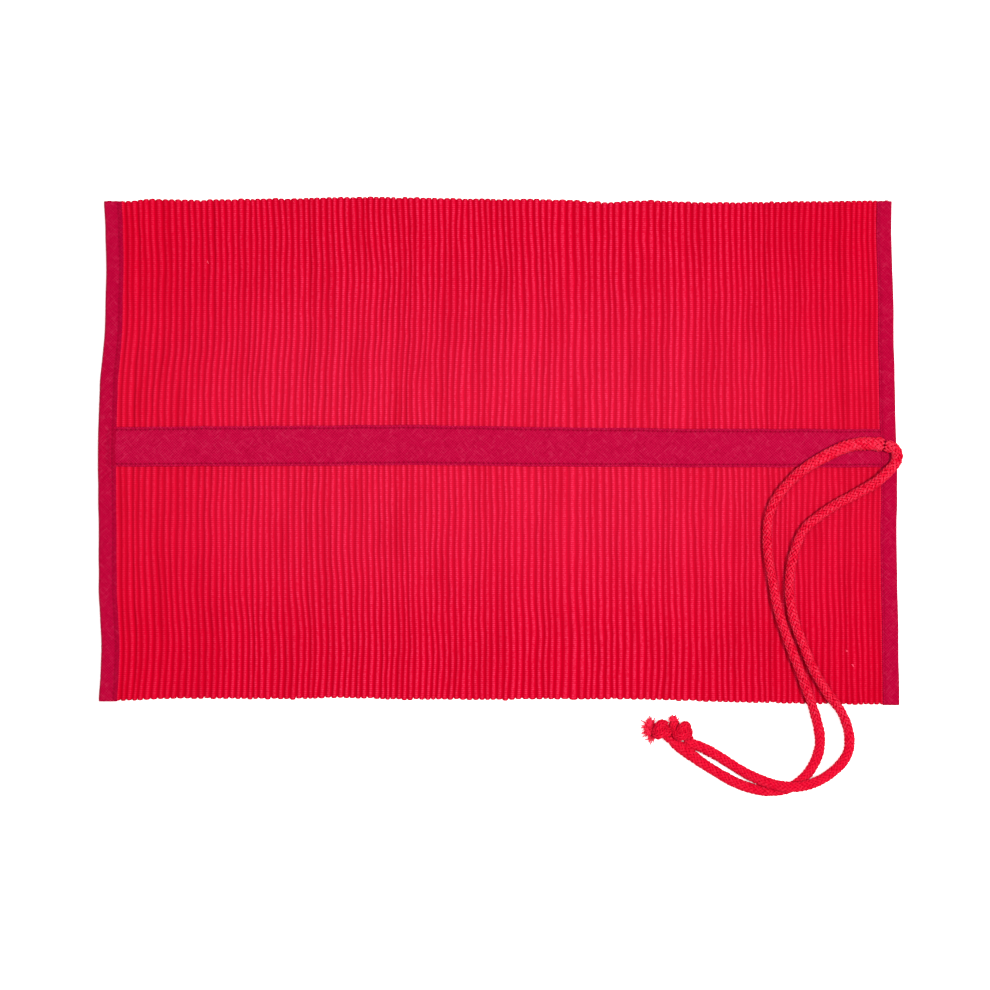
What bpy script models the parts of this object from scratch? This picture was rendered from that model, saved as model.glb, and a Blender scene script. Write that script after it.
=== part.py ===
"""A ribbed cotton pencil roll lying open on a table, its outside up.

The ribs run the short way. A folded tape binds each cut end, a third tape is sewn along the
middle, and one round cord, sewn down by its middle at the right end, lies beside it in two
strands that each end in a knot. Metres, X along the roll, Y up the ribs, Z up from the table.
"""

import math
from collections import namedtuple

import bmesh
import bpy
import numpy as np
from mathutils import Matrix, Vector

# The mat
ROLL_LENGTH = 0.4266
ROLL_WIDTH = 0.2708
MAT_THICKNESS = 0.0022
RIB_COUNT = 129
TOP_GROOVE = 0.0007
UNDER_GROOVE = 0.0005
RIB_END_ROUNDING = 0.0008
HELD_FLAT = 0.014
HELD_EASE = 0.036

# The tapes, each folded double
TAPE_THICKNESS = 0.0010
TAPE_WIDTH = 0.0200
TAPE_OFFSET = 0.0021
LEFT_BINDING_WIDTH = 0.0093
RIGHT_BINDING_WIDTH = 0.0083
FOLD_RADIUS = 0.0007
BAND_WIDTH = 0.0250

# The cord, its stitched bar and its knots
CORD_DIAMETER = 0.0054
TACK_INSET = 0.0018
TACK_RISE = 0.0029
TACK_THICKNESS = 0.0012
TACK_LENGTH = 0.0068
TACK_HEIGHT = 0.0044

# The knots' frayed locks and the cord that enters them, as shares of the cord's diameter
LOCK_START_HEIGHT = 0.75
LOCK_ROOT_RADIUS = 0.38
LOCK_TIP_RADIUS = 0.12
COLLAR_END_RADIUS = 0.45

# Clearances
GAP = 0.0003
FLOOR_REST = 0.0001

# How fine the faceted pieces are
TOP_STEPS = 4
UNDER_STEPS = 2
FOLD_STEPS = 3
TACK_STEPS = 12
CORD_FINE_LENGTH = 0.016
CORD_FINE_STEP = 0.0025
CORD_STEP = 0.0085
CORD_BEVEL_RESOLUTION = 3
LOBE_SEGMENTS = 12
LOBE_RINGS = 8
LOCK_SIDES = 5
COLLAR_SIDES = 10
SMOOTH_ANGLE = math.radians(50)

# Where the roll's ends run, as shares of half its length, for each height up the ribs as a
# share of half its width. hold is how far the band underneath keeps the mat up there.
SideRow = namedtuple("SideRow", "up left right hold")
SIDE_ROWS = (
    SideRow(-1.0, 0.997, 1.000, 0.00),
    SideRow(-0.5, 0.997, 0.996, 0.45),
    SideRow(0.0, 1.000, 0.993, 1.00),
    SideRow(0.5, 0.982, 0.986, 0.45),
    SideRow(1.0, 0.984, 0.982, 0.00),
)

# How far the long edges reach, as shares of half the roll's width, across its length.
EdgeRow = namedtuple("EdgeRow", "across top bottom")
EDGE_ROWS = (
    EdgeRow(-1.00, 0.984, 0.984),
    EdgeRow(-0.75, 0.990, 0.976),
    EdgeRow(-0.50, 0.996, 0.976),
    EdgeRow(-0.25, 1.000, 0.980),
    EdgeRow(0.00, 0.992, 0.980),
    EdgeRow(0.25, 0.980, 0.980),
    EdgeRow(0.50, 0.980, 0.988),
    EdgeRow(0.75, 0.984, 0.996),
    EdgeRow(1.00, 0.984, 1.000),
)

# The ribs' pitch as a share of their mean pitch, across the length.
PitchRow = namedtuple("PitchRow", "across pitch")
PITCH_ROWS = (
    PitchRow(-1.00, 1.04),
    PitchRow(-0.81, 1.04),
    PitchRow(-0.56, 0.99),
    PitchRow(-0.31, 0.94),
    PitchRow(-0.06, 0.965),
    PitchRow(0.19, 1.105),
    PitchRow(0.44, 1.04),
    PitchRow(0.69, 0.96),
    PitchRow(1.00, 0.97),
)

# The strands' centre lines seen from above, with what each point lies on. over is how far
# the point rides up the other strand, as a share of the way to lying right on top of it.
CordRow = namedtuple("CordRow", "x y seat over")
LEFT_ROUTE = (
    CordRow(0.2039, 0.0029, "tape", 0),
    CordRow(0.1991, 0.0036, "tape", 0),
    CordRow(0.1916, 0.0036, "tape", 0),
    CordRow(0.1831, 0.0017, "tape", 0),
    CordRow(0.1724, -0.0035, "tape", 0),
    CordRow(0.1623, -0.0096, "tape", 0),
    CordRow(0.1543, -0.0168, "mat", 0),
    CordRow(0.1479, -0.0248, "mat", 0),
    CordRow(0.1439, -0.0336, "mat", 0),
    CordRow(0.1427, -0.0437, "mat", 0),
    CordRow(0.1433, -0.0560, "mat", 0),
    CordRow(0.1455, -0.0688, "mat", 0),
    CordRow(0.1490, -0.0863, "mat", 0),
    CordRow(0.1552, -0.1045, "mat", 0),
    CordRow(0.1622, -0.1226, "mat", 0),
    CordRow(0.1669, -0.1359, "mat", 0),
    CordRow(0.1706, -0.1492, "floor", 0),
    CordRow(0.1705, -0.1594, "floor", 0),
    CordRow(0.1661, -0.1695, "floor", 0),
    CordRow(0.1596, -0.1764, "floor", 0),
    CordRow(0.1522, -0.1802, "floor", 0),
    CordRow(0.1436, -0.1809, "floor", 0),
    CordRow(0.1340, -0.1794, "floor", 0),
    CordRow(0.1234, -0.1751, "floor", 0),
    CordRow(0.1117, -0.1685, "floor", 0),
    CordRow(0.1010, -0.1617, "floor", 0),
    CordRow(0.0938, -0.1559, "floor", 0),
)
RIGHT_ROUTE = (
    CordRow(0.2066, 0.0029, "tape", 0),
    CordRow(0.2088, 0.0025, "tape", 0),
    CordRow(0.2110, 0.0002, "tape", 0),
    CordRow(0.2119, -0.0034, "tape", 0),
    CordRow(0.2110, -0.0074, "tape", 0),
    CordRow(0.2081, -0.0107, "tape", 0),
    CordRow(0.2034, -0.0144, "tape", 0),
    CordRow(0.1980, -0.0175, "tape", 0),
    CordRow(0.1906, -0.0216, "mat", 0),
    CordRow(0.1809, -0.0277, "mat", 0),
    CordRow(0.1703, -0.0349, "mat", 0),
    CordRow(0.1620, -0.0421, "mat", 0),
    CordRow(0.1576, -0.0522, "mat", 0),
    CordRow(0.1549, -0.0645, "mat", 0),
    CordRow(0.1545, -0.0757, "mat", 0),
    CordRow(0.1566, -0.0885, "mat", 0),
    CordRow(0.1609, -0.1007, "mat", 0),
    CordRow(0.1676, -0.1167, "mat", 0),
    CordRow(0.1746, -0.1285, "mat", 0),
    CordRow(0.1820, -0.1386, "mat", 0),
    CordRow(0.1862, -0.1492, "floor", 0),
    CordRow(0.1862, -0.1594, "floor", 0),
    CordRow(0.1812, -0.1676, "floor", 0.05),
    CordRow(0.1714, -0.1747, "floor", 0.45),
    CordRow(0.1607, -0.1780, "floor", 1),
    CordRow(0.1511, -0.1780, "floor", 1),
    CordRow(0.1415, -0.1757, "floor", 0.60),
    CordRow(0.1314, -0.1714, "floor", 0.10),
    CordRow(0.1207, -0.1652, "floor", 0),
    CordRow(0.1111, -0.1595, "floor", 0),
    CordRow(0.1055, -0.1560, "floor", 0),
)

# Each knot's wraps as rounded lobes, and its frayed tail as tapered locks. Places and sizes are
# shares of the cord's diameter, places from the knot's own centre, turns in degrees.
Lobe = namedtuple("Lobe", "x y z long wide high turn")
Lock = namedtuple("Lock", "x y turn length tip")
LEFT_KNOT_CENTRE = (0.0872, -0.1485)
LEFT_KNOT_LOBES = (
    Lobe(-0.40, 0.55, 0.90, 0.84, 0.62, 0.88, 38),
    Lobe(0.16, -0.12, 0.95, 0.98, 0.62, 0.92, 58),
    Lobe(0.60, -0.62, 0.74, 0.66, 0.48, 0.70, 48),
)
LEFT_KNOT_LOCKS = (
    Lock(-0.55, 0.25, 136, 1.25, 0.75),
    Lock(-0.60, 0.20, 156, 1.60, 0.55),
    Lock(-0.60, 0.10, 178, 1.60, 0.90),
    Lock(-0.60, 0.00, 200, 1.60, 0.40),
    Lock(-0.55, -0.15, 220, 1.55, 0.70),
    Lock(-0.45, -0.25, 244, 1.35, 0.45),
)
RIGHT_KNOT_CENTRE = (0.1000, -0.1487)
RIGHT_KNOT_LOBES = (
    Lobe(-0.10, 0.48, 0.88, 0.78, 0.56, 0.86, 32),
    Lobe(0.42, -0.22, 0.92, 0.80, 0.58, 0.90, 62),
    Lobe(-0.42, -0.42, 0.78, 0.62, 0.54, 0.76, 100),
)
RIGHT_KNOT_LOCKS = (
    Lock(-0.55, 0.35, 118, 1.10, 0.50),
    Lock(-0.55, 0.32, 140, 1.05, 0.85),
    Lock(-0.60, 0.30, 162, 0.95, 0.45),
)

HALF_LENGTH = ROLL_LENGTH / 2
HALF_WIDTH = ROLL_WIDTH / 2
CORD_RADIUS = CORD_DIAMETER / 2
MAT_LIFT = TAPE_THICKNESS + GAP
OVER_MAT = MAT_LIFT + MAT_THICKNESS + GAP
TAPE_TOP = OVER_MAT + TAPE_THICKNESS


def linear_colour(red, green, blue):
    """Screen values from 0 to 255 as the linear colour that a shader takes."""
    channels = []
    for value in (red, green, blue):
        share = value / 255
        low = share / 12.92
        high = ((share + 0.055) / 1.055) ** 2.4
        channels.append(low if share <= 0.04045 else high)
    return (*channels, 1.0)


def cloth_material(name, colour, roughness):
    material = bpy.data.materials.new(name)
    material.use_nodes = True
    shader = material.node_tree.nodes["Principled BSDF"]
    shader.inputs["Base Color"].default_value = colour
    shader.inputs["Roughness"].default_value = roughness
    shader.inputs["Metallic"].default_value = 0.0
    shader.inputs["Sheen Weight"].default_value = 0.3
    return material


def mat_material():
    return cloth_material("ribbed_cotton", linear_colour(232, 12, 52), 0.85)


def tape_material():
    return cloth_material("crimson_tape", linear_colour(186, 6, 58), 0.75)


def band_material():
    return cloth_material("crimson_band", linear_colour(172, 8, 50), 0.80)


def cord_material():
    return cloth_material("cotton_cord", linear_colour(240, 24, 60), 0.85)


def thread_material():
    return cloth_material("sewing_thread", linear_colour(160, 4, 40), 0.60)


def clear_scene():
    for item in list(bpy.data.objects):
        bpy.data.objects.remove(item, do_unlink=True)


def value_at(rows, key, place, column):
    """A column's value at this place, straight between the rows on either side of it."""
    places = [getattr(row, key) for row in rows]
    values = [getattr(row, column) for row in rows]
    return float(np.interp(place, places, values))


def ease(share):
    share = min(max(share, 0.0), 1.0)
    return share * share * (3 - 2 * share)


def roll_end(side, y):
    """X of the roll's left or right end at this Y, at the outside of its binding."""
    sign = -1 if side == "left" else 1
    return sign * HALF_LENGTH * value_at(SIDE_ROWS, "up", y / HALF_WIDTH, side)


def mat_lift(x, y):
    """How far the tapes underneath keep the mat off the table here."""
    from_end = min(x - roll_end("left", y), roll_end("right", y) - x)
    at_end = ease((HELD_FLAT + HELD_EASE - from_end) / HELD_EASE)
    at_band = value_at(SIDE_ROWS, "up", y / HALF_WIDTH, "hold")
    return MAT_LIFT * (1 - (1 - at_end) * (1 - at_band))


def edge_y(x, up):
    """Y of the point that lies this share of the way from the middle to the long edge."""
    column = "top" if up > 0 else "bottom"
    return up * HALF_WIDTH * value_at(EDGE_ROWS, "across", x / HALF_LENGTH, column)


def rib_edges():
    """Places of the grooves between ribs, from 0 at the left end of the mat to 1 at its right."""
    pitches = []
    for rib in range(RIB_COUNT):
        across = 2 * (rib + 0.5) / RIB_COUNT - 1
        pitches.append(value_at(PITCH_ROWS, "across", across, "pitch"))
    return np.concatenate(([0.0], np.cumsum(pitches))) / sum(pitches)


def add_object(name, mesh, material, parent):
    item = bpy.data.objects.new(name, mesh)
    bpy.context.scene.collection.objects.link(item)
    item.data.materials.append(material)
    item.parent = parent
    return item


def solid(name, vertices, faces, material, parent, smooth=True):
    """One closed mesh object with its faces turned outwards."""
    mesh = bpy.data.meshes.new(name)
    mesh.from_pydata(vertices, [], faces)
    shape = bmesh.new()
    shape.from_mesh(mesh)
    bmesh.ops.recalc_face_normals(shape, faces=shape.faces)
    shape.to_mesh(mesh)
    shape.free()
    if smooth:
        mesh.shade_smooth()
        mesh.set_sharp_from_angle(angle=SMOOTH_ANGLE)
    return add_object(name, mesh, material, parent)


def prism(name, sections, material, parent):
    """A solid through closed sections that all have as many points, capped at both ends."""
    count = len(sections[0])
    vertices = [point for section in sections for point in section]
    faces = [tuple(range(count)), tuple(range(len(vertices) - count, len(vertices)))]
    for level in range(len(sections) - 1):
        base = level * count
        for place in range(count):
            following = (place + 1) % count
            faces.append((base + place, base + following,
                          base + count + following, base + count + place))
    return solid(name, vertices, faces, material, parent)


def rib_line(steps, up, edges, height):
    """Points across every rib at one row, height giving Z above the lifted underside."""
    line = []
    for rib in range(RIB_COUNT):
        last = rib == RIB_COUNT - 1
        for step in range(steps + 1 if last else steps):
            phase = step / steps
            share = edges[rib] + phase * (edges[rib + 1] - edges[rib])
            crest = math.sin(math.pi * phase)
            line.append(mat_point(share, up, height(crest), crest))
    return line


def mat_point(share, up, height, crest):
    """A point of the mat, with each rib's end rounded off where up reaches a long edge."""
    guess = up * HALF_WIDTH
    wall = TAPE_THICKNESS + GAP
    low = roll_end("left", guess) + wall
    high = roll_end("right", guess) - wall
    x = low + share * (high - low)
    y = edge_y(x, up)
    if abs(up) == 1:
        y -= up * RIB_END_ROUNDING * (1 - crest)
    return (x, y, mat_lift(x, guess) + height)


def ribbed_mat(parent):
    """The rep cloth: ribs on both faces, resting on the table along its long edges."""
    edges = rib_edges()
    tops = []
    unders = []
    for row in SIDE_ROWS:
        tops.append(rib_line(TOP_STEPS, row.up, edges,
                             lambda crest: MAT_THICKNESS - TOP_GROOVE * (1 - crest)))
        unders.append(rib_line(UNDER_STEPS, row.up, edges,
                               lambda crest: UNDER_GROOVE * (1 - crest)))
    top_count = len(tops[0])
    under_count = len(unders[0])
    under_start = top_count * len(SIDE_ROWS)
    vertices = [point for line in tops + unders for point in line]

    def top(row, place):
        return row * top_count + place

    def under(row, place):
        return under_start + row * under_count + place

    faces = []
    for row in range(len(SIDE_ROWS) - 1):
        for place in range(top_count - 1):
            faces.append((top(row, place), top(row, place + 1),
                          top(row + 1, place + 1), top(row + 1, place)))
        for place in range(under_count - 1):
            faces.append((under(row, place), under(row, place + 1),
                          under(row + 1, place + 1), under(row + 1, place)))
        for first, second in ((0, 0), (top_count - 1, under_count - 1)):
            faces.append((top(row, first), top(row + 1, first),
                          under(row + 1, second), under(row, second)))
    for row in (0, len(SIDE_ROWS) - 1):
        faces += rib_end_faces(row, top, under)
    return solid("ribbed_mat", vertices, faces, mat_material(), parent)


def rib_end_faces(row, top, under):
    """The cut across every rib at one long edge, between its top and its underside."""
    faces = []
    ratio = TOP_STEPS // UNDER_STEPS
    for place in range(RIB_COUNT * UNDER_STEPS):
        start = place * ratio
        inward = place % 2 == 0
        corner = under(row, place + 1) if inward else under(row, place)
        outer = start if inward else start + ratio - 1
        faces.append((under(row, place), under(row, place + 1),
                      top(row, outer + 1), top(row, outer)))
        inner = start + 1 if inward else start
        faces.append((corner, top(row, inner + 1), top(row, inner)))
    return faces


def binding_section(side, width, y):
    """The folded tape's U, open towards the mat, at this Y."""
    outer = roll_end(side, y)
    inward = 1 if side == "left" else -1
    shape = [(width, 0.0)]
    for step in range(FOLD_STEPS + 1):
        turn = math.pi / 2 * step / FOLD_STEPS
        shape.append((FOLD_RADIUS * (1 - math.sin(turn)), FOLD_RADIUS * (1 - math.cos(turn))))
    for step in range(FOLD_STEPS + 1):
        turn = math.pi / 2 * step / FOLD_STEPS
        shape.append((FOLD_RADIUS * (1 - math.cos(turn)),
                      TAPE_TOP - FOLD_RADIUS * (1 - math.sin(turn))))
    shape.append((width, TAPE_TOP))
    shape.append((width, OVER_MAT))
    shape.append((TAPE_THICKNESS, OVER_MAT))
    shape.append((TAPE_THICKNESS, TAPE_THICKNESS))
    shape.append((width, TAPE_THICKNESS))
    return [(outer + inward * depth, y, height) for depth, height in shape]


def binding(side, width, parent):
    """The tape folded round one cut end of the mat, over the whole length of the ribs."""
    sections = []
    for row in SIDE_ROWS:
        y = row.up * HALF_WIDTH
        if abs(row.up) == 1:
            y = edge_y(roll_end(side, y), row.up)
        sections.append(binding_section(side, width, y))
    return prism(f"{side}_binding", sections, tape_material(), parent)


def strip(name, width, low_z, material, parent):
    """A flat tape along the roll, its ends following the inner edges of the two bindings."""
    low_y = TAPE_OFFSET - width / 2
    high_y = TAPE_OFFSET + width / 2
    inside = [row.up * HALF_WIDTH for row in SIDE_ROWS if low_y < row.up * HALF_WIDTH < high_y]
    sections = []
    for y in (low_y, *inside, high_y):
        low_x = roll_end("left", y) + LEFT_BINDING_WIDTH + GAP
        high_x = roll_end("right", y) - RIGHT_BINDING_WIDTH - GAP
        top_z = low_z + TAPE_THICKNESS
        sections.append([(low_x, y, low_z), (high_x, y, low_z), (high_x, y, top_z), (low_x, y, top_z)])
    return prism(name, sections, material, parent)


def cord_tack(parent):
    """The bar of thread that squeezes the cord's middle down onto the right binding."""
    base = TAPE_TOP + GAP
    place = roll_end("right", TACK_RISE) - RIGHT_BINDING_WIDTH + TACK_INSET
    sections = []
    for x in (place - TACK_THICKNESS / 2, place + TACK_THICKNESS / 2):
        section = []
        for step in range(TACK_STEPS + 1):
            turn = math.pi * step / TACK_STEPS
            section.append((x, TACK_RISE + TACK_LENGTH / 2 * math.cos(turn),
                            base + TACK_HEIGHT * math.sin(turn)))
        sections.append(section)
    return prism("cord_tack", sections, thread_material(), parent)


def seat_height(row):
    """Z of the cord's centre where it lies on what this row names."""
    if row.seat == "floor":
        height = FLOOR_REST + CORD_RADIUS
    elif row.seat == "tape":
        height = TAPE_TOP + GAP + CORD_RADIUS
    else:
        height = mat_lift(row.x, row.y) + MAT_THICKNESS + GAP + CORD_RADIUS
    return height + row.over * (CORD_DIAMETER + GAP)


def smooth_line(route, samples=24):
    """Close points along a smooth curve through the route's own points."""
    points = [Vector((row.x, row.y, seat_height(row))) for row in route]
    points = [2 * points[0] - points[1], *points, 2 * points[-1] - points[-2]]
    line = []
    for place in range(1, len(points) - 2):
        before, start, end, after = points[place - 1:place + 3]
        for sample in range(samples):
            t = sample / samples
            bend = 2 * before - 5 * start + 4 * end - after
            twist = 3 * start - before - 3 * end + after
            line.append((2 * start + (end - before) * t + bend * t**2 + twist * t**3) / 2)
    line.append(points[-2])
    return line


def cord_points(route):
    """Points of the tube, close together where it leaves the bar and even after that."""
    line = smooth_line(route)
    chosen = [line[0]]
    walked = 0.0
    since = 0.0
    for before, point in zip(line, line[1:]):
        length = (point - before).length
        walked += length
        since += length
        if since >= (CORD_FINE_STEP if walked < CORD_FINE_LENGTH else CORD_STEP):
            chosen.append(point)
            since = 0.0
    if since > CORD_STEP / 2:
        chosen.append(line[-1])
    else:
        chosen[-1] = line[-1]
    return chosen


def tie_cord(name, route, parent):
    curve = bpy.data.curves.new(name, "CURVE")
    curve.dimensions = "3D"
    curve.bevel_depth = CORD_RADIUS
    curve.bevel_resolution = CORD_BEVEL_RESOLUTION
    curve.use_fill_caps = True
    points = cord_points(route)
    spline = curve.splines.new("POLY")
    spline.points.add(len(points) - 1)
    for target, point in zip(spline.points, points):
        target.co = (*point, 1.0)
    spline.use_smooth = True
    return add_object(name, curve, cord_material(), parent)


def lobe_mesh(lobe, centre):
    """One wrap of a knot, a sphere drawn out along its turn."""
    mesh = bpy.data.meshes.new("lobe")
    shape = bmesh.new()
    place = Vector((centre[0], centre[1], 0)) + CORD_DIAMETER * Vector((lobe.x, lobe.y, lobe.z))
    stretch = Matrix.Diagonal((lobe.long, lobe.wide, lobe.high, 1.0))
    matrix = (Matrix.Translation(place) @ Matrix.Rotation(math.radians(lobe.turn), 4, "Z")
              @ stretch)
    bmesh.ops.create_uvsphere(shape, u_segments=LOBE_SEGMENTS, v_segments=LOBE_RINGS,
                              radius=CORD_DIAMETER, matrix=matrix)
    shape.to_mesh(mesh)
    shape.free()
    return mesh


def taper_mesh(start, end, start_radius, end_radius, sides):
    """A straight tapered bar between two points."""
    mesh = bpy.data.meshes.new("taper")
    shape = bmesh.new()
    run = end - start
    matrix = Matrix.Translation((start + end) / 2) @ run.to_track_quat("Z", "Y").to_matrix().to_4x4()
    bmesh.ops.create_cone(shape, cap_ends=True, segments=sides, radius1=start_radius,
                          radius2=end_radius, depth=run.length, matrix=matrix)
    shape.to_mesh(mesh)
    shape.free()
    return mesh


def lock_mesh(lock, centre):
    """One lock of frayed yarn, from inside the knot out to its tip."""
    turn = math.radians(lock.turn)
    start = Vector((centre[0] + CORD_DIAMETER * lock.x, centre[1] + CORD_DIAMETER * lock.y,
                    CORD_DIAMETER * LOCK_START_HEIGHT))
    end = start + CORD_DIAMETER * lock.length * Vector((math.cos(turn), math.sin(turn), 0))
    end.z = CORD_DIAMETER * lock.tip
    return taper_mesh(start, end, CORD_DIAMETER * LOCK_ROOT_RADIUS,
                      CORD_DIAMETER * LOCK_TIP_RADIUS, LOCK_SIDES)


def collar_mesh(route, centre):
    """The last of the cord, from just past the tube's end into the knot."""
    line = smooth_line(route)
    end = line[-1]
    onward = (line[-1] - line[-2]).normalized()
    start = end + onward * GAP
    inside = Vector((centre[0], centre[1], end.z))
    reach = (inside - start).length
    return taper_mesh(start, start + onward * reach, CORD_RADIUS,
                      CORD_DIAMETER * COLLAR_END_RADIUS, COLLAR_SIDES)


def united(name, meshes, material, parent):
    """The meshes fused into one body."""
    head = add_object(name, meshes[0], material, parent)
    for mesh in meshes[1:]:
        other = bpy.data.objects.new("joined", mesh)
        bpy.context.scene.collection.objects.link(other)
        union = head.modifiers.new("union", "BOOLEAN")
        union.operation = "UNION"
        union.solver = "EXACT"
        union.object = other
        bpy.context.view_layer.update()
        graph = bpy.context.evaluated_depsgraph_get()
        fused = bpy.data.meshes.new_from_object(head.evaluated_get(graph))
        head.modifiers.clear()
        head.data = fused
        bpy.data.objects.remove(other, do_unlink=True)
    head.data.name = name
    head.data.shade_smooth()
    head.data.set_sharp_from_angle(angle=SMOOTH_ANGLE)
    return head


def knot(name, route, centre, lobes, locks, parent):
    """An overhand knot at a strand's end, its frayed tail fused to it."""
    meshes = [lobe_mesh(lobe, centre) for lobe in lobes]
    meshes.append(collar_mesh(route, centre))
    meshes += [lock_mesh(lock, centre) for lock in locks]
    return united(name, meshes, cord_material(), parent)


def pencil_roll():
    clear_scene()
    roll = bpy.data.objects.new("pencil_roll", None)
    bpy.context.scene.collection.objects.link(roll)
    ribbed_mat(roll)
    binding("left", LEFT_BINDING_WIDTH, roll)
    binding("right", RIGHT_BINDING_WIDTH, roll)
    strip("centre_tape", TAPE_WIDTH, OVER_MAT, tape_material(), roll)
    strip("pencil_band", BAND_WIDTH, 0.0, band_material(), roll)
    cord_tack(roll)
    tie_cord("tie_cord_left", LEFT_ROUTE, roll)
    tie_cord("tie_cord_right", RIGHT_ROUTE, roll)
    knot("left_knot", LEFT_ROUTE, LEFT_KNOT_CENTRE, LEFT_KNOT_LOBES, LEFT_KNOT_LOCKS, roll)
    knot("right_knot", RIGHT_ROUTE, RIGHT_KNOT_CENTRE, RIGHT_KNOT_LOBES, RIGHT_KNOT_LOCKS, roll)


pencil_roll()
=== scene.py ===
import math

import bpy
import numpy as np
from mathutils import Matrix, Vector


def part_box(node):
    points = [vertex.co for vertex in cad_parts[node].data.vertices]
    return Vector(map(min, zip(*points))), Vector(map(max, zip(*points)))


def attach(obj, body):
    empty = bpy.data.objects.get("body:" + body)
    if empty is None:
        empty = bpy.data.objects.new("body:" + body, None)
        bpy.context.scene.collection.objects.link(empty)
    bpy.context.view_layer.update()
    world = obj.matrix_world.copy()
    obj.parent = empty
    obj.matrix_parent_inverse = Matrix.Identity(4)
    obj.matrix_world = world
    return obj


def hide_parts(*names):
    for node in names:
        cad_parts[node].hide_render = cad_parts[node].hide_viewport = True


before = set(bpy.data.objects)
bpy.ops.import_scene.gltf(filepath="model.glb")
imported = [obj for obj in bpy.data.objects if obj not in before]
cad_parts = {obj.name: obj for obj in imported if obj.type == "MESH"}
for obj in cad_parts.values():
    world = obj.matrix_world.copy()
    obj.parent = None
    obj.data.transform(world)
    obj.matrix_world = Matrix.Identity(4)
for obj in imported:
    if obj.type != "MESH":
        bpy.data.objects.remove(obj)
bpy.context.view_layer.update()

mm = 0.001
print("pencil roll: frame loaded, nodes:", ", ".join(sorted(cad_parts)))

# heights of the layers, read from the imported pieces
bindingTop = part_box("left_binding")[1].z
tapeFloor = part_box("centre_tape")[0].z
matThickness = 2.2 * mm
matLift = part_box("ribbed_mat")[1].z - matThickness
halfLength = 0.2133  # of the roll as it lies, in metres
halfWidth = 0.1354

# the outline of the roll lying on the table, in mm: where its two ends run up the ribs
sideRows = [
    # up, left end, right end
    (-135.4, -212.9, 213.3),
    (-103.4, -211.4, 212.9),
    (-76.8, -212.7, 212.4),
    (-44.8, -212.8, 211.9),
    (-12.8, -213.2, 212.2),
    (19.2, -212.9, 211.3),
    (40.5, -211.8, 210.8),
    (61.8, -209.7, 210.3),
    (80.5, -209.2, 210.2),
    (99.1, -208.8, 209.5),
    (115.1, -209.2, 209.0),
    (135.4, -210.1, 209.3),
]

# and how far its two long edges reach, in mm
edgeRows = [
    # across, top edge, bottom edge
    (-213.3, 133.2, -133.4),
    (-201.7, 133.2, -133.2),
    (-185.8, 134.1, -132.7),
    (-172.4, 133.8, -132.2),
    (-145.8, 134.3, -132.2),
    (-105.8, 134.8, -132.2),
    (-92.5, 135.2, -131.8),
    (-52.5, 135.3, -132.7),
    (-25.9, 134.8, -132.7),
    (0.8, 134.3, -132.7),
    (27.4, 134.3, -132.4),
    (40.8, 133.8, -132.7),
    (54.1, 132.8, -132.4),
    (80.8, 133.7, -132.7),
    (107.4, 132.7, -133.7),
    (134.0, 132.7, -134.3),
    (160.7, 133.2, -134.8),
    (200.7, 133.2, -135.3),
    (213.3, 133.2, -135.3),
]


# smooth values of one column of a table in mm, at these places in metres
def tableLine(rows, column, places):
    at = np.array([row[0] for row in rows]) * mm
    values = np.array([row[column] for row in rows]) * mm
    slopes = np.gradient(values, at)
    places = np.clip(places, at[0], at[-1])
    cell = np.clip(np.searchsorted(at, places) - 1, 0, len(at) - 2)
    width = at[cell + 1] - at[cell]
    t = (places - at[cell]) / width
    return ((1 + 2 * t) * (1 - t) ** 2 * values[cell] + t * (1 - t) ** 2 * width * slopes[cell]
            + t * t * (3 - 2 * t) * values[cell + 1] + t * t * (t - 1) * width * slopes[cell + 1])


# smooth noise from -1 to 1 over a grid of cells, u and v running from 0 to 1
def softNoise(u, v, cellsU, cellsV, seed):
    grid = np.random.RandomState(seed).rand(cellsU + 2, cellsV + 2) * 2 - 1
    u, v = np.broadcast_arrays(np.clip(u, 0, 1) * cellsU, np.clip(v, 0, 1) * cellsV)
    i, j = u.astype(int), v.astype(int)
    a, b = u - i, v - j
    a, b = a * a * (3 - 2 * a), b * b * (3 - 2 * b)
    low = grid[i, j] * (1 - a) + grid[i + 1, j] * a
    high = grid[i, j + 1] * (1 - a) + grid[i + 1, j + 1] * a
    return low * (1 - b) + high * b


def ease(share):
    share = np.clip(share, 0, 1)
    return share * share * (3 - 2 * share)


# a bell round zero, as wide as this to each side
def bell(offset, width):
    return np.exp(-(offset / width) ** 2)


# from 0 to 1 over a short run from each end, rounded as a quarter circle
def roundedOff(distance, run):
    return np.sqrt(np.clip(1 - (1 - np.clip(distance / run, 0, 1)) ** 2, 0, 1))


# a place between minus and plus this reach, as a share from 0 to 1
def shareOf(place, reach):
    return (place + reach) / (2 * reach)


# a smooth mesh from an array of points, four-sided faces and a few larger end faces
def makeMesh(name, points, faces, material, ends=()):
    points = np.asarray(points, np.float32).reshape(-1, 3)
    sizes = [4] * len(faces) + [len(end) for end in ends]
    corners = [np.asarray(faces, np.int32).ravel()] + [np.asarray(end, np.int32) for end in ends]
    corners = np.concatenate(corners)
    mesh = bpy.data.meshes.new(name)
    mesh.vertices.add(len(points))
    mesh.vertices.foreach_set("co", points.ravel())
    mesh.loops.add(len(corners))
    mesh.loops.foreach_set("vertex_index", corners)
    mesh.polygons.add(len(sizes))
    mesh.polygons.foreach_set("loop_start", np.concatenate([[0], np.cumsum(sizes)[:-1]]))
    mesh.polygons.foreach_set("loop_total", sizes)
    mesh.update(calc_edges=True)
    mesh.validate()
    mesh.shade_smooth()
    piece = bpy.data.objects.new(name, mesh)
    bpy.context.scene.collection.objects.link(piece)
    piece.data.materials.append(material)
    return piece


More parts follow.
